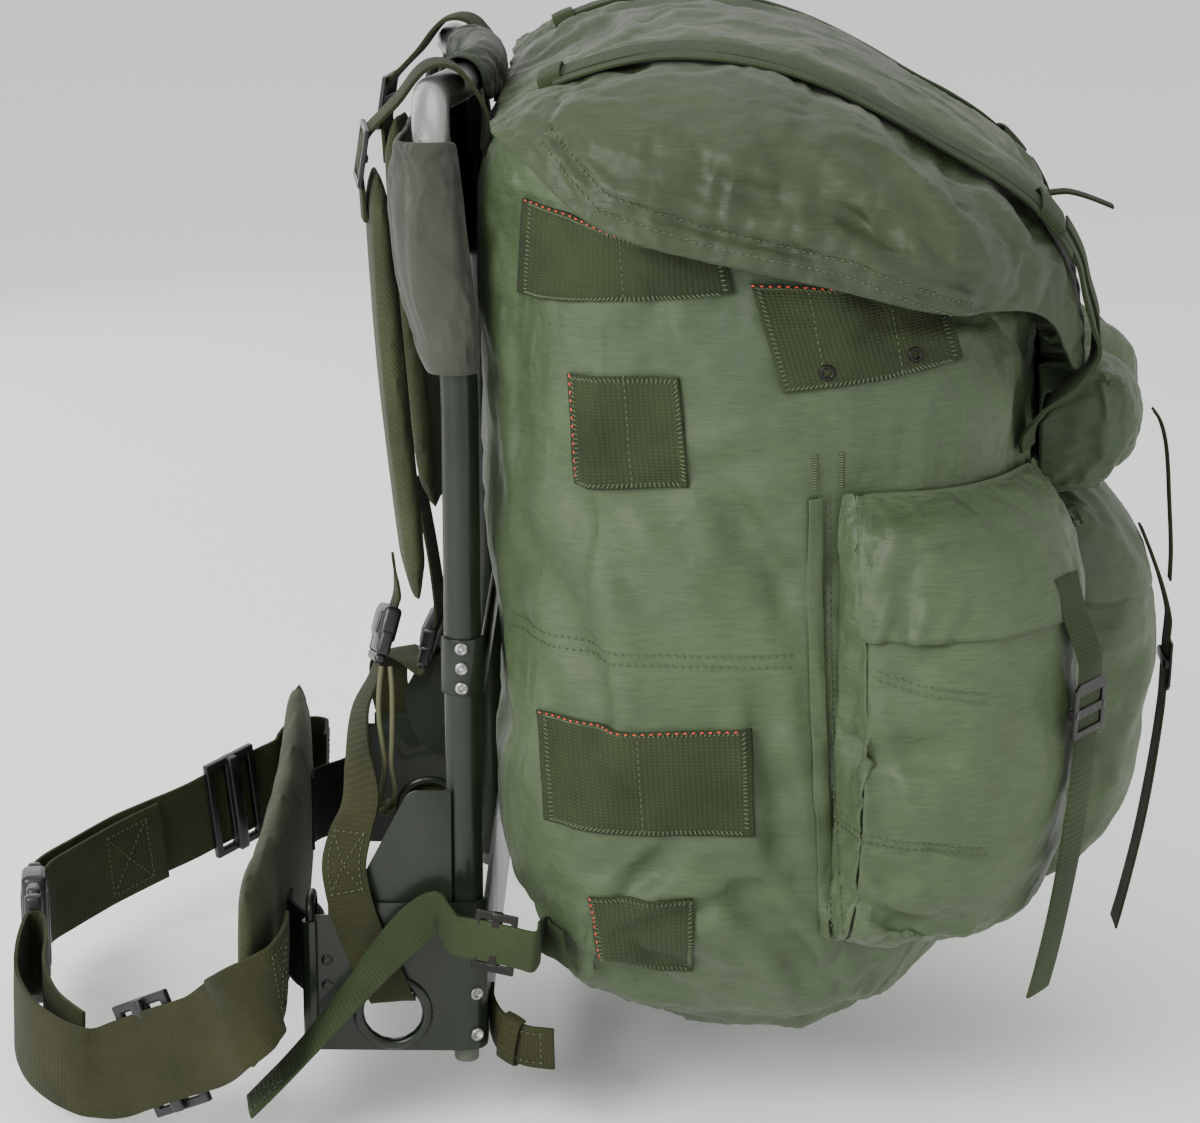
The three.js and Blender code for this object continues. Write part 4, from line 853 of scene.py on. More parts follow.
# %% Bag
BAG_MIDDLE = (160, 0, 250)
BAG_HELD_BY = [
    "frame_tube", "upper_crossbar", "lumbar_band", "pocket_left", "pocket_middle", "pocket_right",
    "small_pocket_left", "small_pocket_middle", "small_pocket_right", "compression_strap",
    "lid_strap_left", "lid_strap_right",
]
BAG_FOLDS = [
    {"from": (30, -200, 243), "to": (176, -205, 243), "depth": 2.6, "width": 3.2},
    {"from": (63, -190, 90), "to": (150, -205, 120), "depth": 4.0, "width": 7.0},
    {"from": (56, -190, 75), "to": (120, -205, 50), "depth": 5.0, "width": 8.0},
    {"from": (66, -190, 98), "to": (110, -205, 145), "depth": 4.0, "width": 6.0},
    {"from": (128, -205, 330), "to": (170, -205, 270), "depth": 5.0, "width": 9.0},
    {"from": (40, -195, 345), "to": (105, -205, 262), "depth": 5.0, "width": 10.0},
    {"from": (75, -200, 320), "to": (165, -205, 350), "depth": 4.0, "width": 8.0},
    {"from": (35, -195, 300), "to": (75, -200, 215), "depth": 4.0, "width": 8.0},
    {"from": (150, -205, 230), "to": (165, -205, 140), "depth": 4.5, "width": 8.0},
    {"from": (125, -205, 145), "to": (185, -205, 60), "depth": 4.5, "width": 9.0},
]
bag_form = outer_sheet("bag_body", BAG_MIDDLE)
bag = make_piece("bag_cloth_body", bag_form, BAG_CLOTH, ("bag_body",))
refine(bag, 3)
near_bag_parts = distance_to(BAG_HELD_BY)
bag_rim = edge_points(bag)
bag_hold = {}
for vert in bag.data.vertices:
    gap = near_bag_parts(vert.co) / MM
    bag_hold[vert.index] = 1.0 if vert.index in bag_rim else min(1.0, max(0.0, 1.0 - (gap - 4) / 12))
relax_cloth(bag, bag_hold, growth=0.06, pressure=1.5, cap=8.0)


def close_mouth(piece):
    """Turns the mouth inwards and closes it, out of sight under the lid."""
    form = bmesh.new()
    form.from_mesh(piece.data)
    middle = at(150, 0, 470)
    for share, drop in ((0.9, 14), (0.55, 26), (0.15, 30)):
        edges = [edge for edge in form.edges if edge.is_boundary]
        fresh = bmesh.ops.extrude_edge_only(form, edges=edges)["geom"]
        for vert in (item for item in fresh if isinstance(item, bmesh.types.BMVert)):
            vert.co = middle + (vert.co - middle) * share - Vector((0, 0, drop * MM))
    bmesh.ops.holes_fill(form, edges=[edge for edge in form.edges if edge.is_boundary])
    form.to_mesh(piece.data)
    form.free()


def bag_creases(point):
    """How strongly the bag is creased: least in the middle of its side, most near its ends."""
    x, y, z = (value / MM for value in point - FOOT)
    amount = 0.3
    amount += 0.9 * max(0.0, (120 - z) / 90)
    amount += 0.7 * max(0.0, (z - 320) / 120)
    amount += 0.9 * max(0.0, (75 - x) / 60)
    amount += 0.6 * max(0.0, (x - 130) / 120)
    return min(amount, 1.2) * min(1.0, near_bag_parts(point) / (10 * MM))


close_mouth(refine(bag, 1))
bag_strength = [bag_creases(vert.co) for vert in bag.data.vertices]
crumple(bag, 2.0, 62.0, bag_strength, (1.0, 1.0, 0.7), 1.3)
crumple(bag, 0.7, 22.0, bag_strength, (1.0, 1.0, 0.8), 4.1)
press_folds(bag, BAG_FOLDS)
print("bag has", len(bag.data.polygons), "faces, area", round(area_of(bag), 3))

# %% [markdown]
# The lid is a dome with a skirt. Elastic in its hem draws the cloth into small puckers, so the cloth
# grows most in a band above the hem.

# %% Lid
lid = make_piece("lid_cloth_cover", outer_sheet("lid", (150, 0, 380)), LID_CLOTH_SHADED,
                 ("lid",))
refine(lid, 3)
lid_to_edge = surface_edges(lid)
lid_hold = {}
lid_hem = {}
for vert in lid.data.vertices:
    near = lid_to_edge(vert.co) / MM
    lid_hold[vert.index] = 1.0 if near < 3 else max(0.0, 0.75 - near / 16)
    lid_hem[vert.index] = max(0.0, 1.0 - abs(near - 8) / 26)
LID_HELD_BY = distance_to(["lid_strap_left", "lid_strap_right"])
for vert in lid.data.vertices:
    if LID_HELD_BY(vert.co) < 4 * MM:
        lid_hold[vert.index] = 1.0
relax_cloth(lid, lid_hold, growth=0.05, pressure=1.2, cap=8.0, hem_growth=0.16, hem=lid_hem)
refine(lid, 1)
lid_strength = [min(1.0, LID_HELD_BY(vert.co) / (12 * MM)) * 0.9 for vert in lid.data.vertices]
crumple(lid, 2.2, 58.0, lid_strength, (1.0, 1.0, 1.0), 7.7)
crumple(lid, 0.6, 20.0, lid_strength, (1.0, 1.0, 1.0), 9.1)
LID_FOLDS = [
    {"from": (52, -190, 498), "to": (150, -190, 470), "depth": 4.0, "width": 7.0},
    {"from": (75, -190, 505), "to": (215, -190, 455), "depth": 3.5, "width": 6.0},
    {"from": (150, -190, 500), "to": (240, -190, 430), "depth": 4.0, "width": 8.0},
    {"from": (212, -190, 480), "to": (262, -190, 415), "depth": 4.0, "width": 7.0},
    {"from": (95, -190, 470), "to": (180, -190, 446), "depth": 2.5, "width": 5.0},
]
press_folds(lid, LID_FOLDS)
HEM_BAND = [
    {"from": a, "to": b, "depth": 1.6, "width": 2.4}
    for a, b in zip([(45, -200, 503), (74, -200, 476), (121, -200, 460), (192, -200, 444)],
                    [(74, -200, 476), (121, -200, 460), (192, -200, 444), (256, -200, 417)])
]
press_folds(lid, HEM_BAND)
print("lid has", len(lid.data.polygons), "faces, area", round(area_of(lid), 3))

# %% [markdown]
# Six pockets are pouches sewn to the bag, and a flap hangs over each large one. Where a swollen
# pocket would come through its flap, the flap is lifted to lie on it.

# %% Pockets and flaps
POCKETS = ["pocket_left", "pocket_middle", "pocket_right"]
SMALL_POCKETS = ["small_pocket_left", "small_pocket_middle", "small_pocket_right"]
FLAPS = ["pocket_flap_left", "pocket_flap_middle", "pocket_flap_right"]


def pouch(node, growth, cap):
    piece = make_piece(f"{node}_cloth", outer_sheet(node, BAG_MIDDLE), BAG_CLOTH,
                       (node,))
    refine(piece, 3)
    to_edge = surface_edges(piece)
    hold = {}
    for vert in piece.data.vertices:
        near = to_edge(vert.co) / MM
        hold[vert.index] = 1.0 if near < 2.5 else max(0.0, 0.6 - near / 14)
    relax_cloth(piece, hold, growth=growth, pressure=3.0, cap=cap)
    return piece


def cut_flap(piece):
    """Cuts the front edge of a side flap on a slant, wider at the top than at its hem."""
    form = bmesh.new()
    form.from_mesh(piece.data)
    top, low = at(180, 0, 328), at(206, 0, 236)
    along = (low - top).normalized()
    away = Vector((along.z, 0, -along.x))
    bmesh.ops.bisect_plane(form, geom=form.verts[:] + form.edges[:] + form.faces[:],
                           plane_co=top, plane_no=away, clear_outer=True)
    form.to_mesh(piece.data)
    form.free()


def lie_over(piece, under, clearance=2.2):
    """Lifts a sheet wherever the cloth under it would come through."""
    form = bmesh.new()
    form.from_mesh(under.data)
    tree = BVHTree.FromBMesh(form)
    form.free()
    for vert in piece.data.vertices:
        hit, normal, index, reach = tree.find_nearest(vert.co)
        above = (vert.co - hit).dot(normal)
        if above < clearance * MM and reach < 14 * MM:
            vert.co += normal * (clearance * MM - above)
    piece.data.update()


POCKET_FOLDS = [
    {"from": (190, -205, 158), "to": (268, -205, 148), "depth": 1.8, "width": 2.6},
    {"from": (190, -205, 128), "to": (240, -205, 100), "depth": 4.0, "width": 8.0},
    {"from": (200, -205, 200), "to": (262, -205, 205), "depth": 4.5, "width": 9.0},
    {"from": (196, -205, 225), "to": (215, -205, 165), "depth": 3.5, "width": 7.0},
]
FLAP_FOLDS = [
    {"from": (206, -205, 236), "to": (222, -205, 280), "depth": 4.5, "width": 5.0},
    {"from": (200, -205, 290), "to": (262, -205, 300), "depth": 3.0, "width": 9.0},
    {"from": (236, -205, 240), "to": (262, -205, 280), "depth": 3.0, "width": 7.0},
]
pouches = {node: pouch(node, 0.07, 6.0) for node in POCKETS}
small_pouches = {node: pouch(node, 0.08, 5.0) for node in SMALL_POCKETS}
flaps = {node: pouch(node, 0.04, 2.5) for node in FLAPS}
for number, piece in enumerate([*pouches.values(), *small_pouches.values(), *flaps.values()]):
    if "right" not in piece.name:
        refine(piece, 1)
    depth = 1.2 if piece.name.startswith("pocket_flap") else 1.9
    to_edge = surface_edges(piece)
    strength = [min(1.0, to_edge(vert.co) / (14 * MM)) for vert in piece.data.vertices]
    crumple(piece, depth, 44.0, strength, (1.0, 1.0, 0.9), 3.0 + number)
press_folds(pouches["pocket_left"], POCKET_FOLDS)
press_folds(flaps["pocket_flap_left"], FLAP_FOLDS)
for side in ("left", "right"):
    cut_flap(flaps[f"pocket_flap_{side}"])
for side in ("left", "middle", "right"):
    lie_over(flaps[f"pocket_flap_{side}"], pouches[f"pocket_{side}"])
print("pockets:", {name: len(piece.data.polygons) for name, piece in pouches.items()})

# %% [markdown]
# The grey sleeve over the upper corners of the frame is a felt-like cloth, stretched round the
# tubes. Thin dark cloth is gathered over the middle of the top bar.

# %% Frame envelope
envelope = make_piece("frame_sleeve", outer_sheet("frame_envelope", (20, 0, 430), 2.7),
                      ENVELOPE_CLOTH, ("frame_envelope",))
refine(envelope, 3)
relax_cloth(envelope, {k: 1.0 for k in edge_points(envelope)}, growth=0.02, pressure=1.5, cap=2.5)
refine(envelope, 1)
SLEEVE_BULGE = 8.5
for vert in envelope.data.vertices:
    x, y, z = (value / MM for value in vert.co - FOOT)
    high = math.sin(math.pi * min(max((z - 366) / 140, 0), 1))
    corner = min(max((abs(y) - 112) / 30, 0), 1)
    forward = min(max((-2 - x) / 8, 0), 1)
    vert.co.x -= SLEEVE_BULGE * MM * high * corner * forward
crumple(envelope, 0.7, 30.0, None, (1.0, 1.0, 0.35), 2.2)
gather = make_piece("top_gather", outer_sheet("envelope_top", (2, 0, 498), 2.4), GATHER_CLOTH,
                    ("envelope_top",))
refine(gather, 3)
relax_cloth(gather, {k: 1.0 for k in edge_points(gather)}, growth=0.12, pressure=1.0, cap=4.0)
print("sleeves ready")

# %% [markdown]
# Every open sheet now gets the thickness of its cloth, laid inwards so that its outside stays where
# it was creased.

# %% Walls of the cloth pieces
pocket_sheets = [*pouches.values(), *small_pouches.values(), *flaps.values()]
for piece, wall in [(lid, 1.6), (envelope, 2.2), (gather, 1.4), *((p, 1.5) for p in pocket_sheets)]:
    add_wall(piece, wall)
print("sheets with a wall:", 3 + len(pocket_sheets))

# %% [markdown]
# The pads are foam in twill. Their measured forms are drawn in a little, remeshed, and blown up
# again as cloth, which rounds them and pulls their seams in.

# %% Pads
def pad_piece(node, voxel, pressure, cap, draw_in):
    form = node_form(node)
    for vert in form.verts:
        vert.co -= vert.normal * draw_in * MM
    piece = make_piece(f"{node}_padded", form, PAD_CLOTH, (node,))
    add_modifier(piece, "REMESH", mode="VOXEL", voxel_size=voxel * MM)
    applied(piece)
    relax_cloth(piece, {}, growth=0.05, pressure=pressure, cap=cap, bending=0.5)
    add_modifier(piece, "SUBSURF", levels=1, render_levels=1)
    smooth_faces(piece)
    return piece


lumbar_pad = pad_piece("lumbar_pad", 4.0, 4.0, 3.0, 1.5)
shoulder_pads = {side: pad_piece(f"shoulder_strap_{side}", 3.0, 3.0, 1.6, 1.2)
                 for side in ("left", "right")}
print("pads ready")

# %% [markdown]
# The frame is one steel tube, bent into an arch. A circle is drawn along its path by extruding its
# edge again and again, which keeps every ring square to the path.

# %% Sweeping a round section
def helper_for(direction):
    """An axis that is well away from a direction."""
    return Vector((0, 0, 1)) if abs(direction.z) < 0.9 else Vector((1, 0, 0))


def sweep_form(points, radius, sides=20, caps=True):
    form = bmesh.new()
    ring = bmesh.ops.create_circle(form, radius=radius * MM, segments=sides)["verts"]
    side = None
    rings = []
    for k, point in enumerate(points):
        ahead = points[min(k + 1, len(points) - 1)]
        behind = points[max(k - 1, 0)]
        along = (ahead - behind).normalized()
        if side is None:
            side = along.cross(helper_for(along)).normalized()
        side = (side - along * side.dot(along)).normalized()
        top = along.cross(side)
        if k > 0:
            edges = [e for e in form.edges if e.verts[0] in set(ring) and e.verts[1] in set(ring)]
            out = bmesh.ops.extrude_edge_only(form, edges=edges)["geom"]
            fresh = [v for v in out if isinstance(v, bmesh.types.BMVert)]
            order = {}
            for v in fresh:
                for e in v.link_edges:
                    other = e.other_vert(v)
                    if other in set(ring):
                        order[ring.index(other)] = v
            ring = [order[j] for j in range(sides)]
        for j, v in enumerate(ring):
            angle = math.tau * j / sides
            v.co = point + (side * math.cos(angle) + top * math.sin(angle)) * radius * MM
        rings.append(list(ring))
    if caps:
        for loop in (rings[0], rings[-1]):
            bmesh.ops.contextual_create(form, geom=loop)
    bmesh.ops.recalc_face_normals(form, faces=form.faces)
    return form


# %% [markdown]
# The tube's path goes up from a plug in its foot, leans forward a little under the sleeve, turns
# through a round bend and bows back along the top. The far half mirrors the near one.

# %% Frame tube
TUBE_RADIUS = 9.5
TOP_BAR_Z = 505
BEND = 46
LEAN = 15
LEAN_START = 357.8
BOW = 17
PLUG_TOP = 9.3


def side_x(z):
    return -LEAN * min(max((z - LEAN_START) / (TOP_BAR_Z - LEAN_START), 0), 1) ** 1.35


def top_x(y):
    return BOW - LEAN - BOW * (y / (TUBE_Y - BEND)) ** 2


half_path = [(side_x(z), -TUBE_Y, z)
             for z in [PLUG_TOP + (TOP_BAR_Z - BEND - PLUG_TOP) * k / 30 for k in range(31)]]
for k in range(1, 12):
    turn = math.pi / 2 * k / 12
    z = TOP_BAR_Z - BEND + BEND * math.sin(turn)
    blend = (k / 12) ** 2
    y = -TUBE_Y + BEND * (1 - math.cos(turn))
    half_path.append((side_x(z) * (1 - blend) + top_x(TUBE_Y - BEND) * blend, y, z))
half_path += [(top_x(y), y, TOP_BAR_Z) for y in [-(TUBE_Y - BEND) * (1 - k / 12) for k in range(12)]]
path = half_path + [(top_x(0), 0, TOP_BAR_Z)] + [(x, -y, z) for x, y, z in reversed(half_path)]
tube = make_piece("frame_tube_smooth", sweep_form([at(*p) for p in path], TUBE_RADIUS, 32, False),
                  FRAME_PAINT, ("frame_tube",))
add_modifier(tube, "SOLIDIFY", thickness=1.5 * MM, offset=-1.0)
print("tube has", len(tube.data.polygons), "faces")

# %% [markdown]
# Pressed and moulded pieces keep their measured form. Their edges are rounded by a bevel, because
# no real edge is sharp and a rounded one catches the light.

# %% Plates, plugs and wire loops
WIRE_THICK = 4.6
WIRE_BEND = 8
for node, finish, slot, width in [
    ("upper_crossbar", FRAME_PAINT, "frame_paint", 0.5),
    ("lumbar_band", FRAME_PAINT, "frame_paint", 0.45),
    ("gusset_left", FRAME_PAINT, "frame_paint", 0.5),
    ("gusset_right", FRAME_PAINT, "frame_paint", 0.5),
    ("foot_left", FOOT_PLASTIC, "foot_plastic", 0.8),
    ("foot_right", FOOT_PLASTIC, "foot_plastic", 0.8),
]:
    bevelled_node(node, finish, width)


def wire_loop(node):
    low, high = (Vector(c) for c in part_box(node))
    wire = WIRE_THICK / 2
    near, far = low.y + wire * MM, high.y - wire * MM
    bottom, top = low.z + wire * MM, high.z - wire * MM
    x = (low.x + high.x) / 2
    corner = WIRE_BEND * MM
    points = []
    for cy, cz, start in [(far - corner, top - corner, 0), (near + corner, top - corner, 1),
                          (near + corner, bottom + corner, 2), (far - corner, bottom + corner, 3)]:
        for k in range(7):
            angle = (start + k / 6) * math.pi / 2
            points.append(Vector((x, cy + corner * math.cos(angle), cz + corner * math.sin(angle))))
    points.append(points[0])
    form = sweep_form(points, wire, 14, False)
    bmesh.ops.remove_doubles(form, verts=form.verts, dist=0.05 * MM)
    make_piece(f"{node}_wire", form, DARK_METAL, (node,))


for side in ("left", "right"):
    wire_loop(f"bail_{side}")
print("plates, plugs and loops ready")

# %% [markdown]
# Hollow rivets hold the straps of metal to the tubes: a small ring of bright worn metal with a
# sunken middle. One is turned from a round section, and the rest are placed the same way.

# %% Rivets and hole rims
def ring_form(form, place, facing, radius, wire, sides=20, round_sides=8):
    facing = facing.normalized()
    across = facing.cross(helper_for(facing)).normalized()
    start = bmesh.ops.create_circle(form, radius=wire * MM, segments=round_sides)["verts"]
    turn = Matrix((across, facing, across.cross(facing))).transposed().to_4x4()
    centre = place + across * radius * MM
    bmesh.ops.transform(form, matrix=Matrix.Translation(centre) @ turn, verts=start)
    edges = list({e for v in start for e in v.link_edges})
    bmesh.ops.spin(form, geom=edges, cent=place, axis=facing, dvec=(0, 0, 0), angle=math.tau,
                   steps=sides, use_merge=True)


def dome_form(form, place, facing, radius, height):
    facing = facing.normalized()
    turn = facing.to_track_quat("Z", "Y").to_matrix().to_4x4()
    size = Matrix.Diagonal((radius * MM, radius * MM, height * MM, 1))
    bmesh.ops.create_uvsphere(form, u_segments=14, v_segments=8, radius=1.0,
                              matrix=Matrix.Translation(place) @ turn @ size)


SADDLE_RIVETS_Z = (209.5, 220, 230.5)
BAND_RIVETS_Z = (18, 41, 64)
rivets = bmesh.new()
for sign in (-1, 1):
    for z in SADDLE_RIVETS_Z:
        place = at(0, sign * (TUBE_Y + TUBE_RADIUS + 2.1), z)
        ring_form(rivets, place, Vector((0, sign, 0)), 2.4, 1.0)
        dome_form(rivets, place - Vector((0, sign, 0)) * 0.2 * MM, Vector((0, sign, 0)), 2.0, 0.3)
    for z in BAND_RIVETS_Z:
        place = at(6.2, sign * (TUBE_Y + TUBE_RADIUS + 0.4), z)
        ring_form(rivets, place, Vector((0.55, sign, 0)), 2.6, 1.1)
        dome_form(rivets, place, Vector((0.55, sign, 0)), 2.2, 0.4)
bmesh.ops.recalc_face_normals(rivets, faces=rivets.faces)
make_piece("frame_rivets", rivets, BARE_METAL)

HOLE_X, HOLE_Z = -38, 31
WING_Y = 157.4
BUMPS_X = -72
rims = bmesh.new()
for sign in (-1, 1):
    place = at(HOLE_X, sign * (WING_Y - 0.4), HOLE_Z)
    ring_form(rims, place, Vector((0, sign, 0)), 18.2, 3.0, 40, 12)
bmesh.ops.recalc_face_normals(rims, faces=rims.faces)
make_piece("hole_rims", rims, FRAME_PAINT)
dimples = bmesh.new()
for sign in (-1, 1):
    for z in (30, 46, 60):
        dome_form(dimples, at(BUMPS_X, sign * (WING_Y - 0.1), z), Vector((0, sign, 0)), 3.2, 1.2)
make_piece("band_bumps", dimples, FRAME_PAINT)
print("rivets and rims ready")

# %% [markdown]
# All webbing is laid along the measured routes. The straps differ in weave, in width and in how
# much they wander.

# %% Straps
OUTWARD = {
    "belt_left": (-1, -1, 0), "belt_right": (-1, 1, 0), "top_strap_left": (-1, 0, 1),
    "top_strap_right": (-1, 0, 1), "lower_strap_left": (0, -1, 0), "lower_strap_right": (0, 1, 0),
    "stub_strap": (0, -1, 0), "pull_tab": (0, 0, 1), "lid_strap_left": (0, -0.5, 1),
    "lid_strap_right": (0, 0.5, 1), "pocket_strap_left": (1, -1, 0), "pocket_strap_middle": (1, 0, 0),
    "pocket_strap_right": (1, 1, 0), "compression_strap": (0, -1, 0), "tie_strap": (1, 0, 0),
    "pad_link_left": (0, -1, 0), "pad_link_right": (0, 1, 0),
}
# The pad links take the near-black webbing, which is painted shade.
STRAP_SLOT = {
    "belt": ("olive_webbing", OLIVE_WEBBING), "top": ("olive_webbing", OLIVE_WEBBING),
    "lower": ("olive_webbing", OLIVE_WEBBING), "stub": ("olive_webbing", OLIVE_WEBBING),
    "pull": ("olive_webbing", OLIVE_WEBBING), "lid": ("dark_webbing", GREEN_WEBBING),
    "pocket": ("dark_webbing", GREEN_WEBBING), "compression": ("dark_webbing", GREEN_WEBBING),
    "tie": ("dark_webbing", GREEN_WEBBING), "pad": ("black_webbing", SHADOW_BLACK_WEBBING),
}
routes = {}
for number, (node, outward) in enumerate(OUTWARD.items()):
    routes[node] = read_strap(node, outward)
    slot, finish = STRAP_SLOT[node.split("_")[0]]
    webbing_strip(f"{node}_webbing", routes[node], finish, (node,), seed=3.7 * number)
print("straps:", len(routes))

# %% [markdown]
# Buckles are made lying flat, along X with the webbing across Y, and then set on the strap that
# runs through them. A flat plate is cut by planes, its windows are taken out, and a wall and a
# rounded edge make it solid.

# %% Buckle forms
def plate_form(length, wide, windows, slot, depth, nose=0.0):
    form = bmesh.new()
    bmesh.ops.create_grid(form, x_segments=1, y_segments=1, size=0.5)
    bmesh.ops.scale(form, verts=form.verts, vec=(length, wide, 1))
    cuts = [((x, 0, 0), (1, 0, 0)) for pair in windows for x in pair]
    cuts += [((0, y, 0), (0, 1, 0)) for y in (-slot / 2, slot / 2)]
    for place, normal in cuts:
        bmesh.ops.bisect_plane(form, geom=form.verts[:] + form.edges[:] + form.faces[:],
                               plane_co=place, plane_no=normal)
    doomed = []
    for face in form.faces:
        middle = face.calc_center_median()
        if abs(middle.y) < slot / 2 and any(a < middle.x < b for a, b in windows):
            doomed.append(face)
    bmesh.ops.delete(form, geom=doomed, context="FACES")
    if nose:
        for vert in form.verts:
            if vert.co.x > length / 2 - 0.01 and abs(vert.co.y) < wide / 2 - 0.01:
                vert.co.x += nose
    bmesh.ops.solidify(form, geom=form.faces[:], thickness=depth)
    bmesh.ops.translate(form, verts=form.verts, vec=(0, 0, depth / 2))
    bmesh.ops.recalc_face_normals(form, faces=form.faces)
    return form


def block_form(size, place=(0, 0, 0), round_by=1.5, segments=3):
    form = bmesh.new()
    bmesh.ops.create_cube(form, size=1.0)
    bmesh.ops.scale(form, verts=form.verts, vec=size)
    bmesh.ops.translate(form, verts=form.verts, vec=place)
    bmesh.ops.bevel(form, geom=form.edges[:], offset=round_by, offset_type="OFFSET",
                    affect="EDGES", segments=segments, profile=0.5, material=-1)
    return form


def joined(forms):
    whole = bmesh.new()
    for form in forms:
        mesh = bpy.data.meshes.new("part")
        form.to_mesh(mesh)
        form.free()
        whole.from_mesh(mesh)
        bpy.data.meshes.remove(mesh)
    return whole


def set_on(form, row):
    turn = Matrix((row["along"], row["across"], row["out"])).transposed().to_4x4()
    bmesh.ops.transform(form, matrix=Matrix.Translation(row["at"]) @ turn
                        @ Matrix.Scale(MM, 4), verts=form.verts)
    return form


def station_near(route, node):
    low, high = (Vector(c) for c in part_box(node))
    middle = (low + high) / 2
    rows = [blend_stations(route, k / 240) for k in range(241)]
    row = min(rows, key=lambda r: (r["at"] - middle).length)
    return {**row, "at": middle}


def buckle_piece(name, form, finish, nodes, edge):
    round_edges(make_piece(name, form, finish, nodes), edge, 40)


# %% [markdown]
# Belt sliders are heavy moulded ladders with a bar in the middle that the webbing goes over. Pocket
# buckles are stamped metal, with a nose to pull.

# %% Buckles
BELT_LADDER = {"length": 38, "wide": 63, "windows": [(-14, -4), (4, 14)], "slot": 53, "depth": 4.2}
TOP_LADDER = {"length": 30, "wide": 34, "windows": [(-12, -3), (3, 12)], "slot": 26, "depth": 2.6}
for side in ("left", "right"):
    row = station_near(routes[f"belt_{side}"], f"belt_slider_{side}")
    if side == "left":
        row = {**row, "across": -row["across"], "out": -row["out"]}
    plate = plate_form(**BELT_LADDER)
    bmesh.ops.translate(plate, verts=plate.verts, vec=(0, 0, 1.6))
    bar = block_form((7.5, 60, 4.0), (0, 0, -2.6), 1.4)
    posts = [block_form((7.0, 4.4, 9.0), (0, y, 0.2), 1.2) for y in (-29, 29)]
    whole = joined([plate, bar, *posts])
    buckle_piece(f"belt_ladder_{side}", set_on(whole, row), BLACK_PLASTIC,
                 (f"belt_slider_{side}",), 1.0)

POCKET_SLIDE = {
    "plate": (25, 32, [(-9, -2.5), (2.5, 9)], 23, 1.6, 3.5), "lip": (4.6, 27, 1.8),
    "ear": (5, 3.6, 4.4), "ear_at": 13.6, "rounds": (0.7, 0.8), "edge": 0.45,
}
COMPRESSION_SLIDE = {
    "plate": (23, 33, [(-8.2, -2.2), (2.2, 8.2)], 24, 1.8), "lip": (5, 30, 2),
    "ear": (6, 4.2, 4.6), "ear_at": 14, "rounds": (0.8, 0.9), "edge": 0.5,
}


def metal_slide(name, node, route, sizes):
    plate = plate_form(*sizes["plate"])
    bmesh.ops.translate(plate, verts=plate.verts, vec=(0, 0, 1.2))
    lip_round, ear_round = sizes["rounds"]
    lip = block_form(sizes["lip"], (0, 0, -1.9), lip_round)
    ears = [block_form(sizes["ear"], (0, y, 0), ear_round) for y in (-sizes["ear_at"], sizes["ear_at"])]
    form = set_on(joined([plate, lip, *ears]), station_near(route, node))
    buckle_piece(name, form, DARK_METAL, (node,), sizes["edge"])


for name in ("left", "middle", "right"):
    metal_slide(f"pocket_slide_{name}", f"pocket_buckle_{name}", routes[f"pocket_strap_{name}"],
                POCKET_SLIDE)
metal_slide("compression_slide", "compression_buckle", routes["compression_strap"],
            COMPRESSION_SLIDE)

for side in ("left", "right"):
    node = f"release_buckle_{side}"
    row = station_near(routes[f"lower_strap_{side}"], node)
    body = block_form((19, 31, 9.5), (-4, 0, 0), 2.6, 4)
    throat = block_form((8, 25, 7), (8, 0, 0), 1.8)
    bar = block_form((5, 31, 6), (14.5, 0, 0.4), 1.8)
    wings = [block_form((13, 4, 7), (6, y, 0), 1.5) for y in (-14.2, 14.2)]
    cover = block_form((12, 20, 2), (-4, 0, 4.9), 0.9)
    buckle_piece(f"release_clip_{side}", set_on(joined([body, throat, bar, cover, *wings]), row),
                 BLACK_PLASTIC, (node,), 0.4)

BUCKLE_AT = (-252, -6, 13)
BUCKLE_ALONG = (-12, 78, -3)
BUCKLE = {"at": at(*BUCKLE_AT), "along": Vector(BUCKLE_ALONG).normalized()}
BUCKLE["across"] = (Vector((0, 0, 1)) - BUCKLE["along"] * BUCKLE["along"].z).normalized()
BUCKLE["out"] = BUCKLE["along"].cross(BUCKLE["across"])
socket = [
    block_form((24, 66, 14.6), (13, 0, 0), 4.2, 5),
    block_form((7, 66, 8), (27, 0, 0), 2.6, 4),
    block_form((14, 44, 2.2), (12, 0, 6.9), 1.0),
    block_form((14, 44, 2.2), (12, 0, -6.9), 1.0),
]
plug = [
    block_form((9, 64, 10), (-25.5, 0, 0), 3.0, 4),
    block_form((12, 56, 9), (-16, 0, 0), 3.0, 4),
    block_form((14, 9, 8), (-8, 27, 0), 2.8, 4),
    block_form((14, 9, 8), (-8, -27, 0), 2.8, 4),
    block_form((14, 14, 8), (-8, 0, 0), 2.8, 4),
]
buckle_piece("belt_socket_shell", set_on(joined(socket), BUCKLE), BLACK_PLASTIC,
             ("belt_buckle_socket",), 0.4)
buckle_piece("belt_plug_prongs", set_on(joined(plug), BUCKLE), BLACK_PLASTIC,
             ("belt_buckle_plug",), 0.4)
print("buckles ready")

# %% [markdown]
# The patches are wide ribbed webbing, sewn flat to the bag's near side. Each is a grid that is
# dropped on the finished cloth, so that it follows the bag's own folds.

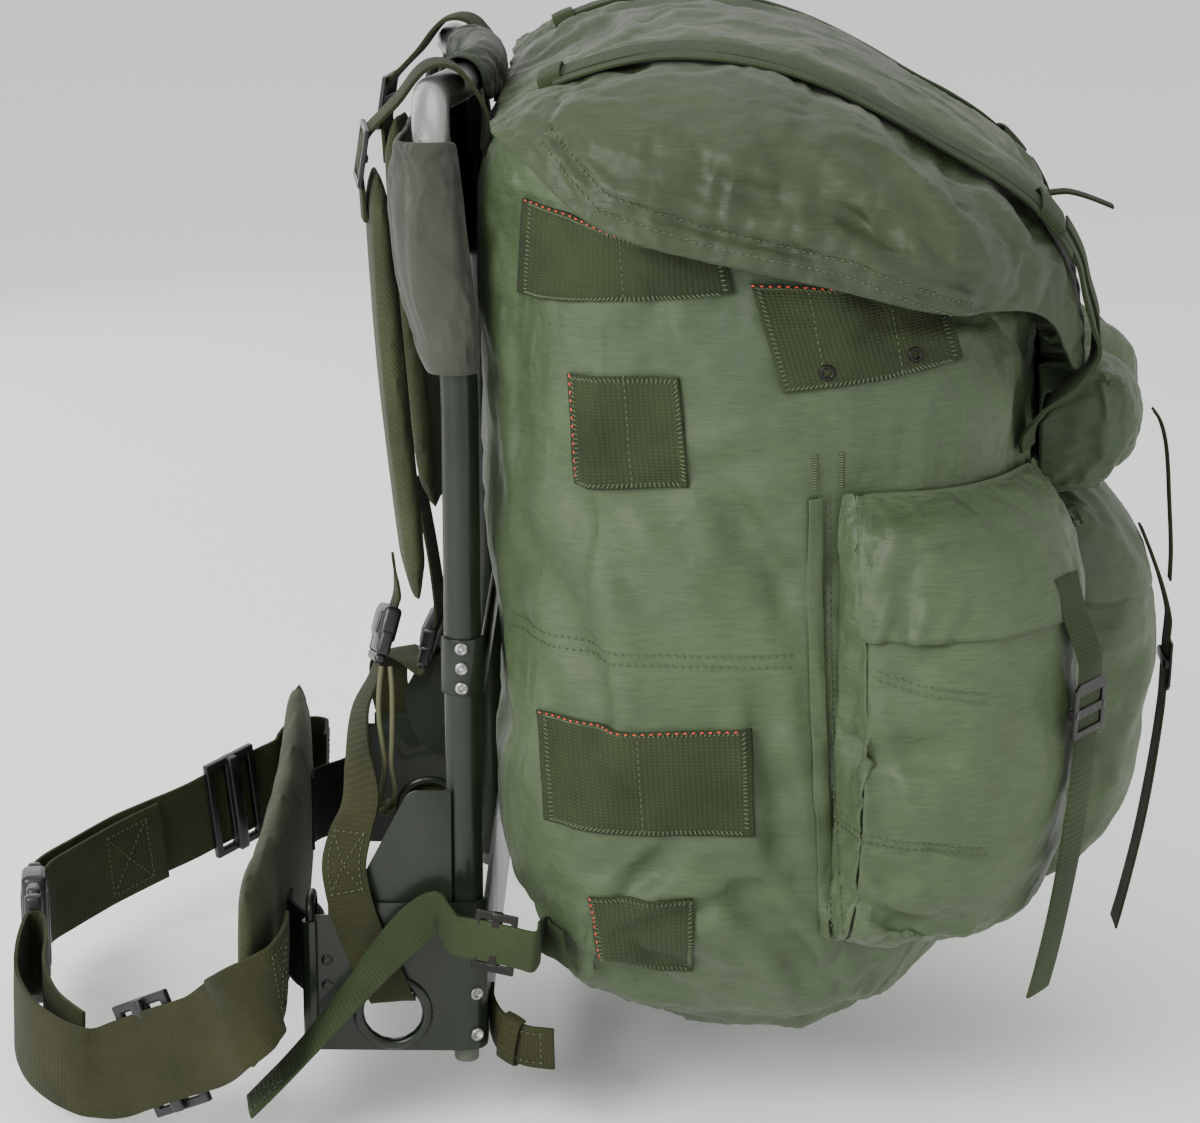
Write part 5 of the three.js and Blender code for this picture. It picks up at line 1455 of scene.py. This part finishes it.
# %% Patches
PATCHES = {
    "patch_top_front": {"top": [(34, 464), (132, 441)], "low": [(31, 415), (136, 426)]},
    "patch_top_rear": {"top": [(144, 430), (236, 428)], "low": [(160, 379), (248, 388)]},
    "patch_middle": {"top": [(56, 382), (110, 384)], "low": [(60, 327), (115, 328)]},
    "patch_wide": {"top": [(40, 205), (146, 208)], "low": [(44, 151), (149, 152)]},
    "patch_low": {"top": [(66, 115), (119, 117)], "low": [(72, 70), (119, 69)]},
}


def surface_tree(pieces):
    form = bmesh.new()
    for piece in pieces:
        form.from_mesh(piece.data)
    tree = BVHTree.FromBMesh(form)
    form.free()
    return tree


bag_surface = surface_tree([bag])
near_surface = surface_tree([bag, lid, *pouches.values(), *flaps.values()])


def on_near_side(x, z, tree, lift):
    """Where a line from the near side first meets the cloth, lifted off it."""
    hit, normal, index, reach = tree.ray_cast(at(x, -400, z), Vector((0, 1, 0)))
    if hit is None:
        return None, None
    if normal.y > 0:
        normal = -normal
    return hit + normal * lift * MM, normal


def corner_blend(patch, along, down):
    top, low = patch["top"], patch["low"]
    first = [top[0][k] + (top[1][k] - top[0][k]) * along for k in (0, 1)]
    second = [low[0][k] + (low[1][k] - low[0][k]) * along for k in (0, 1)]
    return [a + (b - a) * down for a, b in zip(first, second)]


for name, patch in PATCHES.items():
    form = bmesh.new()
    layer = form.loops.layers.uv.new("patch")
    bmesh.ops.create_grid(form, x_segments=44, y_segments=26, size=0.5, calc_uvs=True)
    wide = (Vector(patch["top"][1]) - Vector(patch["top"][0])).length * MM
    tall = (Vector(patch["low"][0]) - Vector(patch["top"][0])).length * MM
    for face in form.faces:
        for loop in face.loops:
            u, v = loop[layer].uv
            loop[layer].uv = (v * tall, u * wide)
    for vert in form.verts:
        x, z = corner_blend(patch, vert.co.x + 0.5, 0.5 - vert.co.y)
        hit, normal = on_near_side(x, z, bag_surface, 1.4)
        vert.co = hit if hit else at(x, -200, z)
    bmesh.ops.recalc_face_normals(form, faces=form.faces)
    for round_number in range(3):
        bmesh.ops.smooth_vert(form, verts=[v for v in form.verts if not v.is_boundary], factor=0.5,
                              use_axis_x=True, use_axis_y=True, use_axis_z=True)
    piece = make_piece(f"{name}_webbing", form, PATCH_WEBBING, (name,))
    add_modifier(piece, "SOLIDIFY", thickness=1.4 * MM, offset=0.0)
print("patches:", len(PATCHES))

# %% [markdown]
# The lid straps are doubled: a second band lies beside the first and both run through a flat loop
# of webbing, the keeper. A stitched tab holds each strap at the front of the lid.

# %% Doubled bands, keepers and tabs
def keeper(name, route, share, reach, width, finish=GREEN_WEBBING):
    row = blend_stations(route, share)
    places = [(-reach, -2.2), (-reach * 0.97, 0.8), (-reach * 0.8, 2.6), (0, 3.2),
              (reach * 0.8, 2.6), (reach * 0.97, 0.8), (reach, -2.2)]
    rows = [{"at": row["at"] + (row["across"] * y + row["out"] * z) * MM,
             "across": -row["along"], "width": width * MM, "thick": 1.6 * MM} for y, z in places]
    webbing_strip(name, rows, finish, spacing=1.5, wander=0.2, seed=share)


for side, sign in (("left", -1), ("right", 1)):
    route = routes[f"lid_strap_{side}"]
    away = 1 if (route[3]["across"].y * sign) > 0 else -1
    webbing_strip(f"lid_band_{side}", route, GREEN_WEBBING, width=22, thick=1.6,
                  lift=-0.4, slide=13.0 * away, part=(0.02, 0.62), seed=31.0 + sign, wander=2.2)
    webbing_strip(f"lid_band_low_{side}", route, GREEN_WEBBING, width=20, thick=1.6,
                  lift=2.4, slide=-15.0 * away, part=(0.6, 0.9), seed=37.0 + sign, wander=1.5)
    keeper(f"lid_keeper_{side}", route, 0.575, 21, 17)
    keeper(f"lid_tab_{side}", route, 0.015, 15, 12)
print("lid bands ready")

# %% [markdown]
# Each shoulder strap hangs from its top webbing by a moulded ladder buckle, set where the webbing
# comes down over the frame.

# %% Ladder buckles
TOP_LADDER_X, TOP_LADDER_Y, TOP_LADDER_Z = -52, 90, 473
for side, sign in (("left", -1), ("right", 1)):
    route = routes[f"top_strap_{side}"]
    rows = [blend_stations(route, k / 200) for k in range(201)]
    target = at(TOP_LADDER_X, sign * TOP_LADDER_Y, TOP_LADDER_Z)
    row = min(rows, key=lambda r: (r["at"] - target).length)
    plate = plate_form(**TOP_LADDER)
    bmesh.ops.translate(plate, verts=plate.verts, vec=(0, 0, -0.4))
    bar = block_form((4, 32, 2.6), (0, 0, -1.6), 1.0)
    buckle_piece(f"top_ladder_{side}", set_on(joined([plate, bar]), row), BLACK_PLASTIC,
                 (), 0.7)
print("ladder buckles ready")

# %% [markdown]
# Stitching is what makes cloth read as sewn. Lines are drawn in the side view and dropped on the
# finished cloth. Patches are whipped round their edges, with a red row where the photograph shows
# one.

# %% Stitch rows
def sewn_line(points, tree, steps_each=14, lift=0.4):
    """Places and outward directions along a line of the side view, dropped on the cloth."""
    places, outs = [], []
    for (x0, z0), (x1, z1) in zip(points, points[1:]):
        for step in range(steps_each):
            share = step / steps_each
            hit, normal = on_near_side(x0 + (x1 - x0) * share, z0 + (z1 - z0) * share, tree, lift)
            if hit is not None:
                places.append(hit)
                outs.append(normal)
    return places, outs


def sew(points, beside=(0.0,)):
    """Rows of green stitches along a line of the side view, each shifted off the line."""
    for shift in beside:
        moved = [(x, z + shift) for x, z in points]
        if abs(points[-1][1] - points[0][1]) > abs(points[-1][0] - points[0][0]):
            moved = [(x + shift, z) for x, z in points]
        places, outs = sewn_line(moved, near_surface)
        green_stitches.row(places, outs, 2.6, 1.2, 0.45)


patch_pieces = [bpy.data.objects[f"{name}_webbing"] for name in PATCHES]
patch_surface = surface_tree(patch_pieces)
RED_EDGES = {
    "patch_top_front": "top", "patch_top_rear": "top", "patch_middle": "left",
    "patch_wide": "top", "patch_low": "left",
}
EDGE_ENDS = {
    "top": ((0.0, 0.0), (1.0, 0.0)), "low": ((0.0, 1.0), (1.0, 1.0)),
    "left": ((0.0, 0.0), (0.0, 1.0)), "right": ((1.0, 0.0), (1.0, 1.0)),
}
SEAMS = {
    "patch_top_front": [((0.48, 0.0), (0.5, 1.0))], "patch_middle": [((0.5, 0.0), (0.5, 1.0))],
    "patch_wide": [((0.47, 0.0), (0.47, 1.0))],
    "patch_top_rear": [((0.3, 0.0), (0.24, 1.0)), ((0.72, 0.0), (0.66, 1.0))],
    "patch_low": [],
}
INSET = 0.035
RED_INSET = 0.012


def edge_line(patch, ends, inset):
    """Two places of the side view near a patch's edge, drawn in by a share of the patch."""
    return [corner_blend(patch, *(min(max(value, inset), 1 - inset) for value in end))
            for end in ends]


for name, patch in PATCHES.items():
    centre_x, centre_z = corner_blend(patch, 0.5, 0.5)
    middle = at(centre_x, -200, centre_z)
    for edge, (first, last) in EDGE_ENDS.items():
        places, outs = sewn_line(edge_line(patch, (first, last), INSET), patch_surface, 40, 0.7)
        sides = [(middle - place).normalized() for place in places]
        green_stitches.whip(places, outs, sides, 2.3, 3.6, 0.5)
        if RED_EDGES[name] == edge:
            places, outs = sewn_line(edge_line(patch, (first, last), RED_INSET), patch_surface, 40,
                                     0.95)
            red_stitches.row(places, outs, 2.2, 2.0, 0.5)
    for first, last in SEAMS[name]:
        places, outs = sewn_line(edge_line(patch, (first, last), 0.0), patch_surface, 40, 0.6)
        green_stitches.row(places, outs, 2.4, 1.0, 0.45)

BAG_SEAM = [(26, 243), (60, 243), (110, 243), (172, 243)]
POCKET_SEAM = [(176, 326), (178, 250), (182, 170), (187, 96)]
POCKET_LOW_SEAM = [(190, 161), (230, 155), (266, 149)]
FLAP_HEM = [(208, 241), (225, 236), (262, 229)]
LID_HEM = [(48, 502), (74, 477), (121, 461), (192, 445), (256, 418)]
LID_HEM_LOW = [(44, 497), (71, 469), (119, 454), (191, 438), (254, 411)]
sew(BAG_SEAM, (-3.0, 3.0))
sew(POCKET_SEAM, (2.0, 7.0))
sew(POCKET_LOW_SEAM, (-2.5, 2.0))
sew(FLAP_HEM, (0.0, 4.5))
sew(LID_HEM)
sew(LID_HEM_LOW)
print("green stitches so far:", green_stitches.count)

# %% [markdown]
# Two bar tacks stand above the pocket's front seam: short thick bars of zigzag thread.

# %% Bar tacks and eyelets
TACKS_X = (176, 189)
TACK_Z = [331 + 1.3 * k for k in range(14)]
for x in TACKS_X:
    tack = bmesh.new()
    for z in TACK_Z:
        hit, normal = on_near_side(x, z, near_surface, 0.5)
        green_stitches.stitch(tack, hit, Vector((1, 0, 0.1)), normal, 3.4 * MM, 0.6 * MM)
    green_stitches.keep(tack)

EYELETS = [(181, 389), (224, 394)]
eyelets = bmesh.new()
for x, z in EYELETS:
    hit, normal = on_near_side(x, z, patch_surface, 0.9)
    if hit is not None:
        ring_form(eyelets, hit, normal, 3.0, 1.0)
bmesh.ops.recalc_face_normals(eyelets, faces=eyelets.faces)
make_piece("patch_eyelets", eyelets, DARK_METAL)
print("tacks and eyelets ready")

# %% [markdown]
# Sewn boxes with a cross in them hold the folded ends of the belts, of the strap through the band
# and of the compression strap.

# %% Sewn boxes
def sewn_box(route, share_from, share_to, half, lift=1.6, cross=True):
    def place(share, side):
        row = blend_stations(route, share)
        return row["at"] + (row["across"] * side + row["out"] * lift) * MM, row["out"]

    def sew_between(a, b):
        points, outs = [], []
        for k in range(21):
            t = k / 20
            point, out = place(a[0] + (b[0] - a[0]) * t, a[1] + (b[1] - a[1]) * t)
            points.append(point)
            outs.append(out)
        green_stitches.row(points, outs, 2.4, 1.2, 0.45, 0.0)

    corners = [(share_from, -half), (share_to, -half), (share_to, half), (share_from, half)]
    for a, b in zip(corners, corners[1:] + corners[:1]):
        sew_between(a, b)
    if cross:
        sew_between(corners[0], corners[2])
        sew_between(corners[1], corners[3])


for side in ("left", "right"):
    sewn_box(routes[f"belt_{side}"], 0.02, 0.07, 19)
    sewn_box(routes[f"belt_{side}"], 0.9, 0.95, 19)
    sewn_box(routes[f"lower_strap_{side}"], 0.55, 0.66, 8)
sewn_box(routes["compression_strap"], 0.01, 0.08, 8)
sewn_box(routes["stub_strap"], 0.6, 0.9, 8, cross=False)
green_piece = green_stitches.finish("green_sewing", GREEN_THREAD, "dark_webbing")
red_piece = red_stitches.finish("red_sewing", RED_THREAD, "dark_webbing")

# %% [markdown]
# The pocket's front edge is bound with a folded tape, and a keeper of webbing holds the short stub
# behind the tube.

# %% Bindings
def side_strip(name, points, width, finish, lift, seed):
    rows = []
    places, outs = sewn_line(points, near_surface, 8, lift)
    hit, normal = on_near_side(*points[-1], near_surface, lift)
    places.append(hit)
    outs.append(normal)
    for k, (place, out) in enumerate(zip(places, outs)):
        ahead = places[min(k + 1, len(places) - 1)]
        behind = places[max(k - 1, 0)]
        along = (ahead - behind).normalized()
        rows.append({"at": place, "across": out.cross(along).normalized(), "width": width * MM,
                     "thick": 1.2 * MM})
    webbing_strip(name, rows, finish, spacing=2.0, wander=0.5, seed=seed)


side_strip("pocket_binding", POCKET_SEAM, 8.0, BAG_CLOTH, 1.6, 2.0)
keeper("stub_keeper", routes["stub_strap"], 0.62, 13, 12, OLIVE_WEBBING)
print("bindings ready")

# %% [markdown]
# The braided cords end in one shared knot.

# %% Knot of the cords
KNOT_X, KNOT_Y, KNOT_Z = -42.3, -116, 130
KNOT_STEPS = 40
knot_line = []
for k in range(KNOT_STEPS):
    turn = math.tau * k / (KNOT_STEPS - 1) * 2
    swing = math.tau * k / (KNOT_STEPS - 1) * 3
    reach = 2.4 + 1.2 * math.cos(swing)
    knot_line.append(at(KNOT_X + reach * math.cos(turn), KNOT_Y + reach * math.sin(turn),
                        KNOT_Z + 2.6 * math.sin(swing)))
make_piece("cord_knot", sweep_form(knot_line, 1.5, 10), CORD_BRAID)
print("knot has", len(knot_line), "places")

# %% [markdown]
# The cloth pieces that hang free are listed with the size of the flat cloth they were cut from.

# %% Flat sizes
SHEETS = [
    {"piece": lid, "held": "draped", "flat": (0.54, 0.44), "area": 0.19, "on": "bag_cloth_body"},
    {"piece": envelope, "held": "stretched", "flat": (0.40, 0.12), "area": None,
     "on": "frame_tube_smooth"},
    {"piece": gather, "held": "gathered", "flat": (0.13, 0.09), "area": None,
     "on": "frame_tube_smooth"},
]
for side, flat, area in (("left", (0.16, 0.11), 0.0155), ("middle", (0.17, 0.11), 0.0175),
                         ("right", (0.16, 0.11), 0.0155)):
    SHEETS.append({"piece": flaps[f"pocket_flap_{side}"], "held": "draped", "flat": flat,
                   "area": area, "on": f"pocket_{side}_cloth"})
for row in SHEETS:
    print(row["piece"].name, "area", round(area_of(row["piece"]), 4), "cut", row["flat"])
